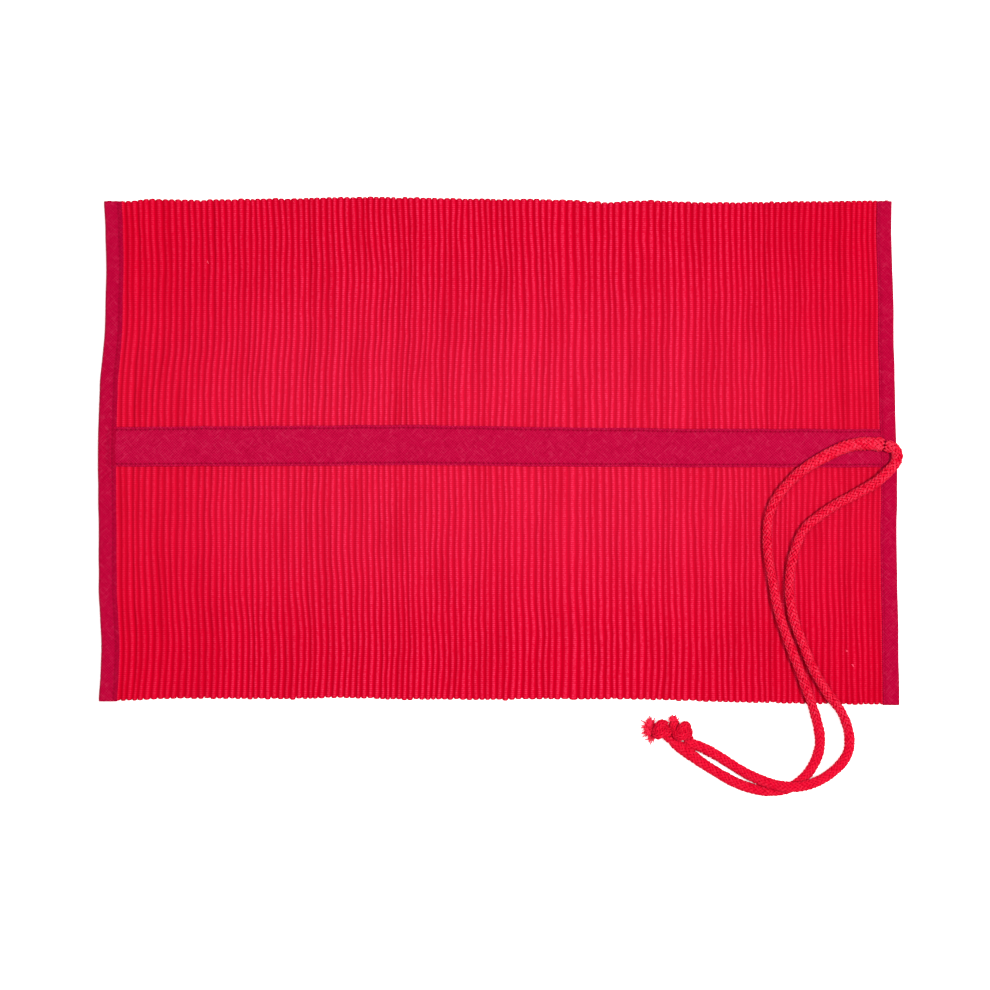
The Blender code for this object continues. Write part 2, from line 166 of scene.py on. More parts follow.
def addAttribute(piece, name, values):
    layer = piece.data.attributes.new(name, "FLOAT", "POINT")
    layer.data.foreach_set("value", np.asarray(values, np.float32).ravel())


# faces over a grid of points, wrapping round where a direction is closed
def gridFaces(rows, columns, closedRows=False, closedColumns=False, start=0):
    row = np.arange(rows if closedRows else rows - 1)[:, None]
    column = np.arange(columns if closedColumns else columns - 1)[None, :]
    nextRow, nextColumn = (row + 1) % rows, (column + 1) % columns
    corners = [row * columns + column, row * columns + nextColumn,
               nextRow * columns + nextColumn, nextRow * columns + column]
    shape = (len(row), column.shape[1])
    return np.stack([np.broadcast_to(corner, shape) for corner in corners], -1).reshape(-1, 4) + start


# the two faces that close a tube of such rings
def tubeEnds(rings, sides, start=0):
    first = start + np.arange(sides)
    return [first[::-1], first + (rings - 1) * sides]


# a mesh over rings of points, closed at both ends
def tubeMesh(name, points, material, mirrored=False):
    rings, sides = points.shape[:2]
    faces = gridFaces(rings, sides, closedColumns=True)
    ends = tubeEnds(rings, sides)
    if mirrored:
        faces, ends = faces[:, ::-1], [end[::-1] for end in ends]
    return makeMesh(name, points, faces, material, ends)


# even points along a smooth curve through the given ones
def smoothPath(points, spacing):
    points = np.asarray(points, float)
    points = np.concatenate([[2 * points[0] - points[1]], points, [2 * points[-1] - points[-2]]])
    t = np.linspace(0, 1, 20, endpoint=False)[:, None]
    line = []
    for before, start, end, after in zip(points, points[1:], points[2:], points[3:]):
        line.append((2 * start + (end - before) * t + (2 * before - 5 * start + 4 * end - after) * t**2
                     + (3 * start - before - 3 * end + after) * t**3) / 2)
    line = np.concatenate(line + [points[-2:-1]])
    return evenPath(line, spacing)


def evenPath(line, spacing):
    walked = np.concatenate([[0], np.cumsum(np.linalg.norm(np.diff(line, axis=0), axis=1))])
    places = np.linspace(0, walked[-1], int(round(walked[-1] / spacing)) + 1)
    return np.stack([np.interp(places, walked, line[:, k]) for k in range(3)], 1)


# two directions across the path at every point, turning as little as they can
def pathFrames(path):
    tangents = np.gradient(path, axis=0)
    tangents /= np.linalg.norm(tangents, axis=1, keepdims=True)
    across = np.zeros_like(path)
    side = np.cross([0, 0, 1.0], tangents[0])
    across[0] = side / np.linalg.norm(side)
    for k in range(1, len(path)):
        side = across[k - 1] - tangents[k] * (across[k - 1] @ tangents[k])
        across[k] = side / np.linalg.norm(side)
    return tangents, across, np.cross(tangents, across)


# rings of points round a path
def tubePoints(path, radius, sides, frames=None):
    _, across, over = frames or pathFrames(path)
    turn = np.arange(sides) / sides * 2 * math.pi
    radius = np.broadcast_to(np.asarray(radius, float), (len(path),))[:, None, None]
    return (path[:, None] + radius * (np.cos(turn)[None, :, None] * across[:, None]
                                      + np.sin(turn)[None, :, None] * over[:, None]))


# many closed tubes gathered into one mesh, with a tone for each
class Bundle:
    def __init__(self):
        self.points, self.faces, self.ends, self.tones, self.count = [], [], [], [], 0

    def add(self, rings, tone=0.5):
        rows, sides = rings.shape[:2]
        self.points.append(rings.reshape(-1, 3))
        self.faces.append(gridFaces(rows, sides, closedColumns=True, start=self.count))
        self.ends += tubeEnds(rows, sides, self.count)
        self.tones.append(np.broadcast_to(tone, (rows, sides)).ravel())
        self.count += rows * sides

    def build(self, name, material):
        piece = makeMesh(name, np.concatenate(self.points), np.concatenate(self.faces), material, self.ends)
        addAttribute(piece, "tone", np.concatenate(self.tones))
        return piece


dyeShare = 0.56  # the lights are strong, so every dye is darker than it looks by this share


# a dye that looks like these screen values, from 0 to 255, under the studio lights
def seenColour(red, green, blue):
    shares = np.array([red, green, blue]) / 255
    linear = np.where(shares <= 0.04045, shares / 12.92, ((shares + 0.055) / 1.055) ** 2.4)
    return (*[float(value) * dyeShare for value in linear], 1.0)


# shader building

def placeNode(tree, kind, **values):
    node = tree.nodes.new(kind)
    for name, value in values.items():
        setattr(node, name, value)
    return node


def mathNode(tree, operation, first, second=None, clamp=False):
    node = placeNode(tree, "ShaderNodeMath", operation=operation, use_clamp=clamp)
    for socket, value in zip(node.inputs, (first, second)):
        if isinstance(value, (int, float)):
            socket.default_value = value
        elif value is not None:
            tree.links.new(value, socket)
    return node.outputs[0]


def noiseNode(tree, place, scale, detail):
    node = placeNode(tree, "ShaderNodeTexNoise")
    node.inputs["Detail"].default_value = detail
    tree.links.new(place, node.inputs["Vector"])
    if isinstance(scale, float):
        node.inputs["Scale"].default_value = scale
    else:
        tree.links.new(scale, node.inputs["Scale"])
    return node.outputs["Fac"]


# a shader node group with named sockets, and its two end nodes
def newGroup(name, inputs, outputs):
    tree = bpy.data.node_groups.new(name, "ShaderNodeTree")
    for label, kind, value in inputs:
        socket = tree.interface.new_socket(label, in_out="INPUT", socket_type=kind)
        if value is not None:
            socket.default_value = value
    for label, kind in outputs:
        tree.interface.new_socket(label, in_out="OUTPUT", socket_type=kind)
    return tree, tree.nodes.new("NodeGroupInput"), tree.nodes.new("NodeGroupOutput")


weaveLook = {
    "wanderScale": 180.0,
    "wander": 6.0,
    "streaks": [(260.0, 1500.0, 300.0), (1500.0, 260.0, 300.0)],    # thick and thin places along each thread
}


# plain weave: height of threads that pass over and under, set at any turn
def makeWeaveGroup(look):
    tree, inside, outside = newGroup(
        "plainWeave",
        [("Vector", "NodeSocketVector", None), ("Threads", "NodeSocketFloat", 2000.0),
         ("Turn", "NodeSocketFloat", 0.785), ("Unevenness", "NodeSocketFloat", 0.15)],
        [("Height", "NodeSocketFloat"), ("Slubs", "NodeSocketFloat"), ("Gaps", "NodeSocketFloat")])
    links = tree.links
    turned = placeNode(tree, "ShaderNodeVectorRotate", rotation_type="Z_AXIS")
    links.new(inside.outputs["Vector"], turned.inputs["Vector"])
    links.new(inside.outputs["Turn"], turned.inputs["Angle"])
    wander = noiseNode(tree, turned.outputs["Vector"], look["wanderScale"], 2.0)
    parts = placeNode(tree, "ShaderNodeSeparateXYZ")
    links.new(turned.outputs["Vector"], parts.inputs["Vector"])
    drift = mathNode(tree, "MULTIPLY", wander, inside.outputs["Unevenness"])
    waves = []
    for axis in ("X", "Y"):
        phase = mathNode(tree, "MULTIPLY", parts.outputs[axis], inside.outputs["Threads"])
        phase = mathNode(tree, "ADD", phase, mathNode(tree, "MULTIPLY", drift, look["wander"]))
        waves.append(mathNode(tree, "SINE", mathNode(tree, "MULTIPLY", phase, math.pi)))
    over = mathNode(tree, "GREATER_THAN", mathNode(tree, "MULTIPLY", waves[0], waves[1]), 0.0)
    first, second = (mathNode(tree, "ABSOLUTE", wave) for wave in waves)
    spread = mathNode(tree, "SUBTRACT", first, second)
    height = mathNode(tree, "ADD", second, mathNode(tree, "MULTIPLY", spread, over))
    links.new(height, outside.inputs["Height"])
    streaks = []
    for scale in look["streaks"]:
        stretched = placeNode(tree, "ShaderNodeVectorMath", operation="MULTIPLY")
        stretched.inputs[1].default_value = scale
        links.new(turned.outputs["Vector"], stretched.inputs[0])
        streaks.append(noiseNode(tree, stretched.outputs["Vector"], 1.0, 2.0))
    links.new(mathNode(tree, "MAXIMUM", *streaks), outside.inputs["Slubs"])
    links.new(mathNode(tree, "MINIMUM", *streaks), outside.inputs["Gaps"])
    return tree


# soft cotton fuzz: a fine nap and a broad, slow change of shade
def makeFuzzGroup():
    tree, inside, outside = newGroup(
        "cottonFuzz",
        [("Vector", "NodeSocketVector", None), ("Nap Scale", "NodeSocketFloat", 2600.0),
         ("Patch Scale", "NodeSocketFloat", 9.0)],
        [("Nap", "NodeSocketFloat"), ("Patches", "NodeSocketFloat")])
    for label, output, detail in (("Nap Scale", "Nap", 3.0), ("Patch Scale", "Patches", 2.0)):
        noise = noiseNode(tree, inside.outputs["Vector"], inside.outputs[label], detail)
        tree.links.new(noise, outside.inputs[output])
    return tree


weaveGroup = makeWeaveGroup(weaveLook)
fuzzGroup = makeFuzzGroup()


# a cloth material: its tree, shader and the object's own coordinates
def startMaterial(name, look):
    material = bpy.data.materials.new(name)
    material.use_nodes = True
    tree = material.node_tree
    shader = tree.nodes["Principled BSDF"]
    shader.inputs["Roughness"].default_value = look["roughness"]
    shader.inputs["Sheen Weight"].default_value = look["sheen"]
    shader.inputs["Sheen Roughness"].default_value = 0.5
    shader.inputs["Sheen Tint"].default_value = look["sheenTint"]
    shader.inputs["Specular IOR Level"].default_value = look["specular"]
    shader.inputs["Specular Tint"].default_value = look["sheenTint"]
    place = tree.nodes.new("ShaderNodeTexCoord").outputs["Object"]
    return material, tree, shader, place


def useGroup(tree, group, place, values):
    node = placeNode(tree, "ShaderNodeGroup", node_tree=group)
    tree.links.new(place, node.inputs["Vector"])
    for label, value in values.items():
        node.inputs[label].default_value = value
    return node


def addFuzz(tree, place, napScale, patchScale):
    return useGroup(tree, fuzzGroup, place, {"Nap Scale": napScale, "Patch Scale": patchScale})


def mixColours(tree, share, first, second):
    node = placeNode(tree, "ShaderNodeMix", data_type="RGBA")
    for socket, value in zip((node.inputs[0], node.inputs[6], node.inputs[7]), (share, first, second)):
        if isinstance(value, (int, float, tuple)):
            socket.default_value = value
        else:
            tree.links.new(value, socket)
    return node.outputs[2]


def fitRange(tree, value, low, high, toLow=0.0, toHigh=1.0):
    node = placeNode(tree, "ShaderNodeMapRange", interpolation_type="SMOOTHSTEP")
    tree.links.new(value, node.inputs["Value"])
    for label, number in (("From Min", low), ("From Max", high), ("To Min", toLow), ("To Max", toHigh)):
        node.inputs[label].default_value = number
    return node.outputs["Result"]


# a cloth's colour, and its bumps in a row: each a height, its distance in metres and a strength
def finishMaterial(tree, shader, colour, layers):
    tree.links.new(colour, shader.inputs["Base Color"])
    normal = None
    for height, distance, strength in layers:
        bump = tree.nodes.new("ShaderNodeBump")
        bump.inputs["Distance"].default_value = distance
        bump.inputs["Strength"].default_value = strength
        tree.links.new(height, bump.inputs["Height"])
        if normal is not None:
            tree.links.new(normal, bump.inputs["Normal"])
        normal = bump.outputs["Normal"]
    tree.links.new(normal, shader.inputs["Normal"])


def readAttribute(tree, name):
    return placeNode(tree, "ShaderNodeAttribute", attribute_name=name).outputs["Fac"]


matLook = {
    "ribs": 129,
    "stepsPerRib": 8,
    "grooveTop": 0.78 * mm,
    "grooveUnder": 0.55 * mm,
    "ends": (-0.2120, 0.2115),    # of the cloth inside the bindings, in metres
    "edgeSteps": (0.0, 0.10, 0.35, 0.75, 1.3, 2.2, 3.6),    # rows of points by the long edges, in mm
    "underSteps": (0.35, 1.0, 3.6),
    "wander": 0.95 * mm,          # how far a rib strays sideways
    # in waves of a strength, so many across and up, and a seed
    "waves": [(0.8, 15, 6, 31), (0.55, 40, 13, 32), (0.28, 129, 36, 33)],
    "roundedEnd": 1.0 * mm,
    "edgeRound": 1.25 * mm,
    "crestSwells": 0.12,
    "grooveVaries": 0.28,
    "pitchVaries": 0.05,
    "heightVaries": 0.10,
    "reachVaries": 0.16 * mm,
    "tone": (0.35, 0.22),         # of the dark shade on a rib: the mean and how much it varies
    # grooves pressed tight in the photograph: across, from and to up the ribs, in mm
    "tightGrooves": [(-152.0, 86.0, 136.0), (-100.0, 86.0, 102.0), (118.0, -60.0, -20.0)],
    "ripple": 0.25 * mm,
    "seamSwell": 0.45 * mm,       # how much the cloth swells beside the bindings
    "swellInset": (12.2 * mm, 10.8 * mm),
    "swellWidth": 3.4 * mm,
    "swellEnds": 0.128,           # how far up the ribs it goes, in metres
    "liftedEnds": (50 * mm, 36 * mm),    # how far in the bindings keep it up, and over what length it sinks
    "liftedMiddle": (2 * mm, 14 * mm, 118 * mm),    # the same for the band: its centre, half width and run
    # painted highlight colour for the rib crests
    "crest": seenColour(255, 54, 96),
    "body": seenColour(230, 0, 44),
    # painted shade colour for the grooves between the ribs
    "grooveShade": seenColour(203, 0, 32),
    "roughness": 0.75,
    "sheen": 0.015,
    "sheenTint": (1.0, 0.05, 0.14, 1.0),
    "specular": 0.015,
    "napScale": 2400.0,
    "patchScale": 7.0,
    "mottleScale": 1050.0,
    "warpThreads": 900.0,         # fine threads a metre, across the ribs
    "highlightLine": 0.004,          # the line along which the painted highlight pools, in metres up the ribs
    # strength of the painted highlight pooled along that line
    "middleHighlight": 0.18,
    "endHighlight": 0.5,           # how strong the painted highlight is near the bindings, as a share of the middle
    "darkness": 0.40,
    "threadDepth": 0.29 * mm,
}


def ribbedCotton(look):
    material, tree, shader, place = startMaterial("ribbedCotton", look)
    fuzz = addFuzz(tree, place, look["napScale"], look["patchScale"])
    crest = readAttribute(tree, "crest")
    parts = tree.nodes.new("ShaderNodeSeparateXYZ")
    tree.links.new(place, parts.inputs["Vector"])
    drift = mathNode(tree, "MULTIPLY", fuzz.outputs["Patches"], 3.0)
    phase = mathNode(tree, "MULTIPLY", parts.outputs["Y"], look["warpThreads"])
    phase = mathNode(tree, "MULTIPLY", mathNode(tree, "ADD", phase, drift), math.pi)
    threads = mathNode(tree, "ABSOLUTE", mathNode(tree, "SINE", phase))
    # painted shade: the grooves between the ribs are mixed towards a darker colour
    colour = mixColours(tree, fitRange(tree, crest, 0.0, 0.6), look["grooveShade"], look["body"])

    # painted highlight on the crests, mottled and broken by the threads, strongest towards the middle of the
    # roll where the light pools
    naps = addFuzz(tree, place, look["mottleScale"], look["patchScale"])
    mottle = fitRange(tree, naps.outputs["Nap"], 0.30, 0.70, 0.22, 1.10)
    fromMiddle = mathNode(tree, "ABSOLUTE", parts.outputs["X"])
    highlightFade = fitRange(tree, fromMiddle, 0.08, 0.20, 1.0, look["endHighlight"])
    grain = mathNode(tree, "MULTIPLY", mathNode(tree, "ADD", threads, 0.1), mottle)
    lit = mathNode(tree, "MULTIPLY", fitRange(tree, crest, 0.52, 1.0), grain, True)
    lit = mathNode(tree, "MULTIPLY", lit, highlightFade)
    colour = mixColours(tree, lit, colour, look["crest"])
    # a painted pool of light along the middle line of the roll
    fromLine = mathNode(tree, "ABSOLUTE", mathNode(tree, "SUBTRACT", parts.outputs["Y"], look["highlightLine"]))
    pooledHighlight = mathNode(tree, "SUBTRACT", 1.0, fitRange(tree, fromLine, 0.02, 0.12))
    pooledHighlight = mathNode(tree, "MULTIPLY", mathNode(tree, "MULTIPLY", pooledHighlight, highlightFade), look["middleHighlight"])
    colour = mixColours(tree, pooledHighlight, colour, look["crest"])

    # random darker ribs and patches, mixed towards the same groove-shade colour
    tone = readAttribute(tree, "tone")
    dark = mathNode(tree, "MULTIPLY", fitRange(tree, tone, 0.25, 0.95), look["darkness"])
    colour = mixColours(tree, dark, colour, look["grooveShade"])
    finishMaterial(tree, shader, colour, [(threads, look["threadDepth"], 0.75),
                                          (fuzz.outputs["Nap"], 0.16 * mm, 0.6)])
    return material


tapeLook = {
    "colour": seenColour(206, 14, 70),
    "shade": seenColour(166, 0, 42),
    # hole: colour of the painted shade in the needle holes and seam dips
    "hole": seenColour(150, 0, 36),
    "slub": seenColour(232, 66, 110),
    "roughness": 0.75,
    "sheen": 0.03,
    "sheenTint": (1.0, 0.10, 0.28, 1.0),
    "specular": 0.03,
    "napScale": 3000.0,
    "patchScale": 14.0,
    "threads": 980.0,             # a metre, each way
    "turn": math.radians(45),     # the tape is cut on the bias
    "threadDepth": 0.16 * mm,
    "thickness": 0.9 * mm,
    "stitch": 2.5 * mm,
    "stitchInset": 1.0 * mm,
    "stitchArch": 0.16 * mm,
    "stitchSunk": 0.14 * mm,
    "seamWidth": 0.55 * mm,
    "seamDepth": 0.10 * mm,
    "dipWidth": 0.50 * mm,        # round each needle hole
    "dipDepth": 0.28 * mm,
}


def crimsonTape(look, name="crimsonTape"):
    material, tree, shader, place = startMaterial(name, look)
    weave = useGroup(tree, weaveGroup, place, {"Threads": look["threads"], "Turn": look["turn"]})
    fuzz = addFuzz(tree, place, look["napScale"], look["patchScale"])
    raised = fitRange(tree, weave.outputs["Height"], 0.1, 0.8)
    colour = mixColours(tree, raised, look["shade"], look["colour"])
    slubs = mathNode(tree, "MULTIPLY", fitRange(tree, weave.outputs["Slubs"], 0.54, 0.80), 0.30)
    colour = mixColours(tree, slubs, colour, look["slub"])
    gaps = mathNode(tree, "MULTIPLY", fitRange(tree, weave.outputs["Gaps"], 0.46, 0.26), 0.5)
    colour = mixColours(tree, gaps, colour, look["shade"])
    # painted shade in the seam dips and needle holes, and painted shadow on the strip inside a binding's
    # seam
    colour = mixColours(tree, readAttribute(tree, "paintedShade"), colour, look["hole"])
    finishMaterial(tree, shader, colour, [(weave.outputs["Height"], look["threadDepth"], 0.7),
                                          (fuzz.outputs["Nap"], 0.08 * mm, 0.5)])
    return material


cordLook = {
    "diameter": 5.4 * mm,
    "yarns": 8,                   # each way round
    "lay": 20.0 * mm,             # length of one turn of a yarn
    "yarnWidth": 0.235,           # half of it, as a share of the cord's radius
    "plyWidth": 0.135,            # half of one of its two plies
    "plyTwist": 5.5 * mm,
    "weaveDepth": 0.095,
    "sharpness": 2.2,             # how sharply a yarn dips under the next
    "paired": 0.45,               # how much it passes over two and under two
    "plain": 0.85,                # and over one and under one
    "yarnVaries": 0.045,
    "plyVaries": 0.08,
    "plyRise": 0.3,               # how far the plies rise and sink as they turn about each other
    "lumps": 0.12,
    "yarnShade": (0.85, 0.15),    # the mean and how much it varies
    "deepest": 0.74,              # share of the radius under which a yarn is in full shade
    "feltedTone": 0.50,
    "core": 0.66,
    # crest: painted highlight on the outermost yarns; shade: painted shade deep in the braid
    "crest": seenColour(255, 78, 108),
    "body": seenColour(246, 14, 54),
    "shade": seenColour(184, 0, 26),
    "roughness": 0.8,
    "sheen": 0.02,
    "sheenTint": (1.0, 0.04, 0.12, 1.0),
    "specular": 0.01,
    "napScale": 1900.0,
    "patchScale": 60.0,
}


def cottonYarn(look, name="cottonYarn"):
    material, tree, shader, place = startMaterial(name, look)
    fuzz = addFuzz(tree, place, look["napScale"], look["patchScale"])
    tone = readAttribute(tree, "tone")
    # painted shade where the tone is low, painted highlight where it is high
    colour = mixColours(tree, fitRange(tree, tone, 0.0, 0.6), look["shade"], look["body"])
    nap = fitRange(tree, fuzz.outputs["Nap"], 0.3, 0.7)
    lit = mathNode(tree, "MULTIPLY", fitRange(tree, tone, 0.45, 1.0), nap)
    colour = mixColours(tree, lit, colour, look["crest"])
    finishMaterial(tree, shader, colour, [(fuzz.outputs["Nap"], 0.22 * mm, 0.7)])
    return material


threadLook = {
    "colour": seenColour(196, 8, 60),
    "shade": seenColour(166, 0, 44),
    "roughness": 0.6,
    "sheen": 0.05,
    "sheenTint": (1.0, 0.15, 0.25, 1.0),
    "specular": 0.04,
    "napScale": 4200.0,
    "patchScale": 80.0,
    "radius": 0.19 * mm,
}


def sewingThread(look):
    material, tree, shader, place = startMaterial("sewingThread", look)
    fuzz = addFuzz(tree, place, look["napScale"], look["patchScale"])
    colour = mixColours(tree, fuzz.outputs["Nap"], look["shade"], look["colour"])
    finishMaterial(tree, shader, colour, [(fuzz.outputs["Nap"], 0.05 * mm, 0.5)])
    return material


matMaterial = ribbedCotton(matLook)
tapeMaterial = crimsonTape(tapeLook)
# the bindings take a darker copy of the tape: painted shade
foldedMaterial = crimsonTape(dict(tapeLook, colour=seenColour(200, 8, 63)), "foldedTape")
yarnMaterial = cottonYarn(cordLook)
threadMaterial = sewingThread(threadLook)
print("materials made")


# the camera looks straight down, as the photograph does
cameraLook = {
    "height": 1.6,
    "viewWidth": 0.5277,          # metres across the picture at the roll
    "target": (-0.0019, -0.0235),
    "sensor": 36.0,
    "farthest": 60.0,             # so that the floor isn't cut off in a low view
}


def placeCamera(look):
    data = bpy.data.cameras.new("rollCamera")
    data.sensor_width = look["sensor"]
    data.lens = look["sensor"] * look["height"] / look["viewWidth"]
    data.clip_end = look["farthest"]
    camera = bpy.data.objects.new("rollCamera", data)
    camera.location = (*look["target"], look["height"])
    bpy.context.scene.collection.objects.link(camera)
    bpy.context.scene.camera = camera


placeCamera(cameraLook)
print("camera placed")

# the two strands' centre lines, in metres, as they lie on the roll and the table
tackPoint = (0.2045, 0.0029, 0.0072)
leftRoute = [
    tackPoint, (0.2032, 0.0032, 0.0076), (0.1991, 0.0036, 0.0078), (0.1916, 0.0036, 0.0078),
    (0.1831, 0.0017, 0.0078), (0.1724, -0.0035, 0.0078), (0.1623, -0.0096, 0.0077),
    (0.1543, -0.0168, 0.0063), (0.1479, -0.0248, 0.0062), (0.1439, -0.0336, 0.0061),
    (0.1427, -0.0437, 0.0060), (0.1433, -0.0560, 0.0059), (0.1455, -0.0688, 0.0058),
    (0.1490, -0.0863, 0.0056), (0.1552, -0.1045, 0.0055), (0.1622, -0.1226, 0.0053),
    (0.1669, -0.1359, 0.0051), (0.1706, -0.1492, 0.0028), (0.1705, -0.1594, 0.0028),
    (0.1661, -0.1695, 0.0028), (0.1596, -0.1764, 0.0028), (0.1522, -0.1802, 0.0028),
    (0.1436, -0.1809, 0.0028), (0.1340, -0.1794, 0.0028), (0.1234, -0.1751, 0.0028),
    (0.1117, -0.1682, 0.0028), (0.1074, -0.1654, 0.0028), (0.1021, -0.1614, 0.0028),
    (0.0967, -0.1577, 0.0028), (0.0946, -0.1560, 0.0028),
]
rightRoute = [
    tackPoint, (0.2058, 0.0023, 0.0076), (0.2077, 0.0023, 0.0078), (0.2098, 0.0015, 0.0078),
    (0.2113, -0.0010, 0.0078), (0.2114, -0.0042, 0.0078), (0.2100, -0.0073, 0.0078),
    (0.2069, -0.0107, 0.0078), (0.2029, -0.0146, 0.0078), (0.1989, -0.0177, 0.0076),
    (0.1934, -0.0208, 0.0070), (0.1879, -0.0239, 0.0065), (0.1824, -0.0268, 0.0064),
    (0.1768, -0.0300, 0.0063), (0.1700, -0.0348, 0.0062), (0.1620, -0.0421, 0.0061),
    (0.1576, -0.0522, 0.0059), (0.1549, -0.0645, 0.0058), (0.1545, -0.0757, 0.0057),
    (0.1566, -0.0885, 0.0056), (0.1609, -0.1007, 0.0055), (0.1676, -0.1167, 0.0054),
    (0.1746, -0.1285, 0.0056), (0.1820, -0.1386, 0.0057), (0.1862, -0.1492, 0.0028),
    (0.1862, -0.1594, 0.0028), (0.1812, -0.1676, 0.0031), (0.1714, -0.1747, 0.0054),
    (0.1607, -0.1780, 0.0083), (0.1511, -0.1780, 0.0083), (0.1415, -0.1757, 0.0062),
    (0.1314, -0.1714, 0.0034), (0.1207, -0.1648, 0.0028), (0.1135, -0.1604, 0.0028),
    (0.1085, -0.1579, 0.0028), (0.1048, -0.1564, 0.0028), (0.1014, -0.1556, 0.0028),
]

tyingLook = {
    "width": 3.75 * mm,           # the cord's width while the knot is pulled tight
    "plump": 4.9 * mm,            # and once its soft turns have swelled against each other
    "spacing": 1.3 * mm,
    "rounds": 640,
    "pull": 0.05 * mm,            # how far each end moves in a round
    "tautness": 1.05,
    "leastRounds": 100,
    "relaxings": 12,
    "pushing": 1.3,
    "stiffness": 0.075,
    "looseSize": 0.95,
    "leads": 6 * mm,
}


# an overhand knot's centre line, found by pulling a loose one tight as a round cord
def tightKnot(look):
    turn = np.linspace(math.pi, 3 * math.pi, 400)
    loop = np.stack([np.sin(turn) + 2 * np.sin(2 * turn), np.cos(turn) - 2 * np.cos(2 * turn),
                     -np.sin(3 * turn)], 1) * look["width"] * look["looseSize"]
    start, end = loop[1] - loop[0], loop[-1] - loop[-2]
    run = np.linspace(0, look["leads"], 8)[1:, None]
    line = np.concatenate([loop[0] - start / np.linalg.norm(start) * run[::-1], loop,
                           loop[-1] + end / np.linalg.norm(end) * run])
    line = evenPath(line, look["spacing"])
    length = np.linalg.norm(np.diff(line, axis=0), axis=1).mean()
    count = len(line)
    first, second = np.triu_indices(count, k=int(math.ceil(1.5 * look["width"] / length)))
    for step in range(look["rounds"]):
        ends = line[0] - [look["pull"], 0, 0], line[-1] + [look["pull"], 0, 0]
        for _ in range(look["relaxings"]):
            for parity in (0, 1):
                run = line[1:] - line[:-1]
                change = run * (1 - length / np.linalg.norm(run, axis=1, keepdims=True)) / 2
                change[1 - parity::2] = 0
                line[:-1] += change
                line[1:] -= change
            gap = line[second] - line[first]
            distance = np.linalg.norm(gap, axis=1)
            close = distance < look["width"]
            push = gap[close] / distance[close, None] * (look["width"] - distance[close, None]) / 2
            moved, touches = np.zeros_like(line), np.zeros((count, 1))
            np.add.at(moved, first[close], -push)
            np.add.at(moved, second[close], push)
            np.add.at(touches, first[close], 1)
            np.add.at(touches, second[close], 1)
            line += moved / np.maximum(touches, 1) * look["pushing"]
            line[0], line[-1] = ends
        line[1:-1] += ((line[:-2] + line[2:]) / 2 - line[1:-1]) * look["stiffness"]
        stretched = np.linalg.norm(np.diff(line, axis=0), axis=1).sum()
        if step > look["leastRounds"] and stretched > length * (count - 1) * look["tautness"]:
            break
    return line - line[np.abs(line[:, 0]) < 5 * mm].mean(axis=0)


# a smooth run of points between two places with given directions
def bridge(start, startWay, end, endWay, count):
    start, end = np.asarray(start, float), np.asarray(end, float)
    reach = np.linalg.norm(end - start)
    startWay = np.asarray(startWay, float) / np.linalg.norm(startWay) * reach
    endWay = np.asarray(endWay, float) / np.linalg.norm(endWay) * reach
    t = np.linspace(0, 1, count)[1:-1, None]
    return ((2 * t**3 - 3 * t**2 + 1) * start + (t**3 - 2 * t**2 + t) * startWay
            + (3 * t**2 - 2 * t**3) * end + (t**3 - t**2) * endWay)


# the knot's line turned onto the strand's heading and rolled about it, resting on the table
def placeKnot(line, look):
    inside = (line[:, 0] > -look["before"]) & (line[:, 0] < look["after"])
    line = line[inside] * [1, -1, 1]      # tied left-handed
    roll, heading = math.radians(look["roll"]), math.radians(look["heading"])
    line = line @ np.array([[1, 0, 0], [0, math.cos(roll), math.sin(roll)],
                            [0, -math.sin(roll), math.cos(roll)]])
    line = line * look["press"]
    line = line @ np.array([[math.cos(heading), math.sin(heading), 0],
                            [-math.sin(heading), math.cos(heading), 0], [0, 0, 1]])
    line = line + [look["centre"][0] * mm, look["centre"][1] * mm, 0]
    line[:, 2] += tyingLook["plump"] / 2 + 0.1 * mm - line[:, 2].min()
    tail = np.array([*look["tail"], 0]) * mm + [0, 0, look["tailHeight"]]
    turn = math.radians(look["tailHeading"])
    end = bridge(line[-1], line[-1] - line[-2], tail, (math.cos(turn), math.sin(turn), 0), 8)
    return np.concatenate([line, end, [tail]])


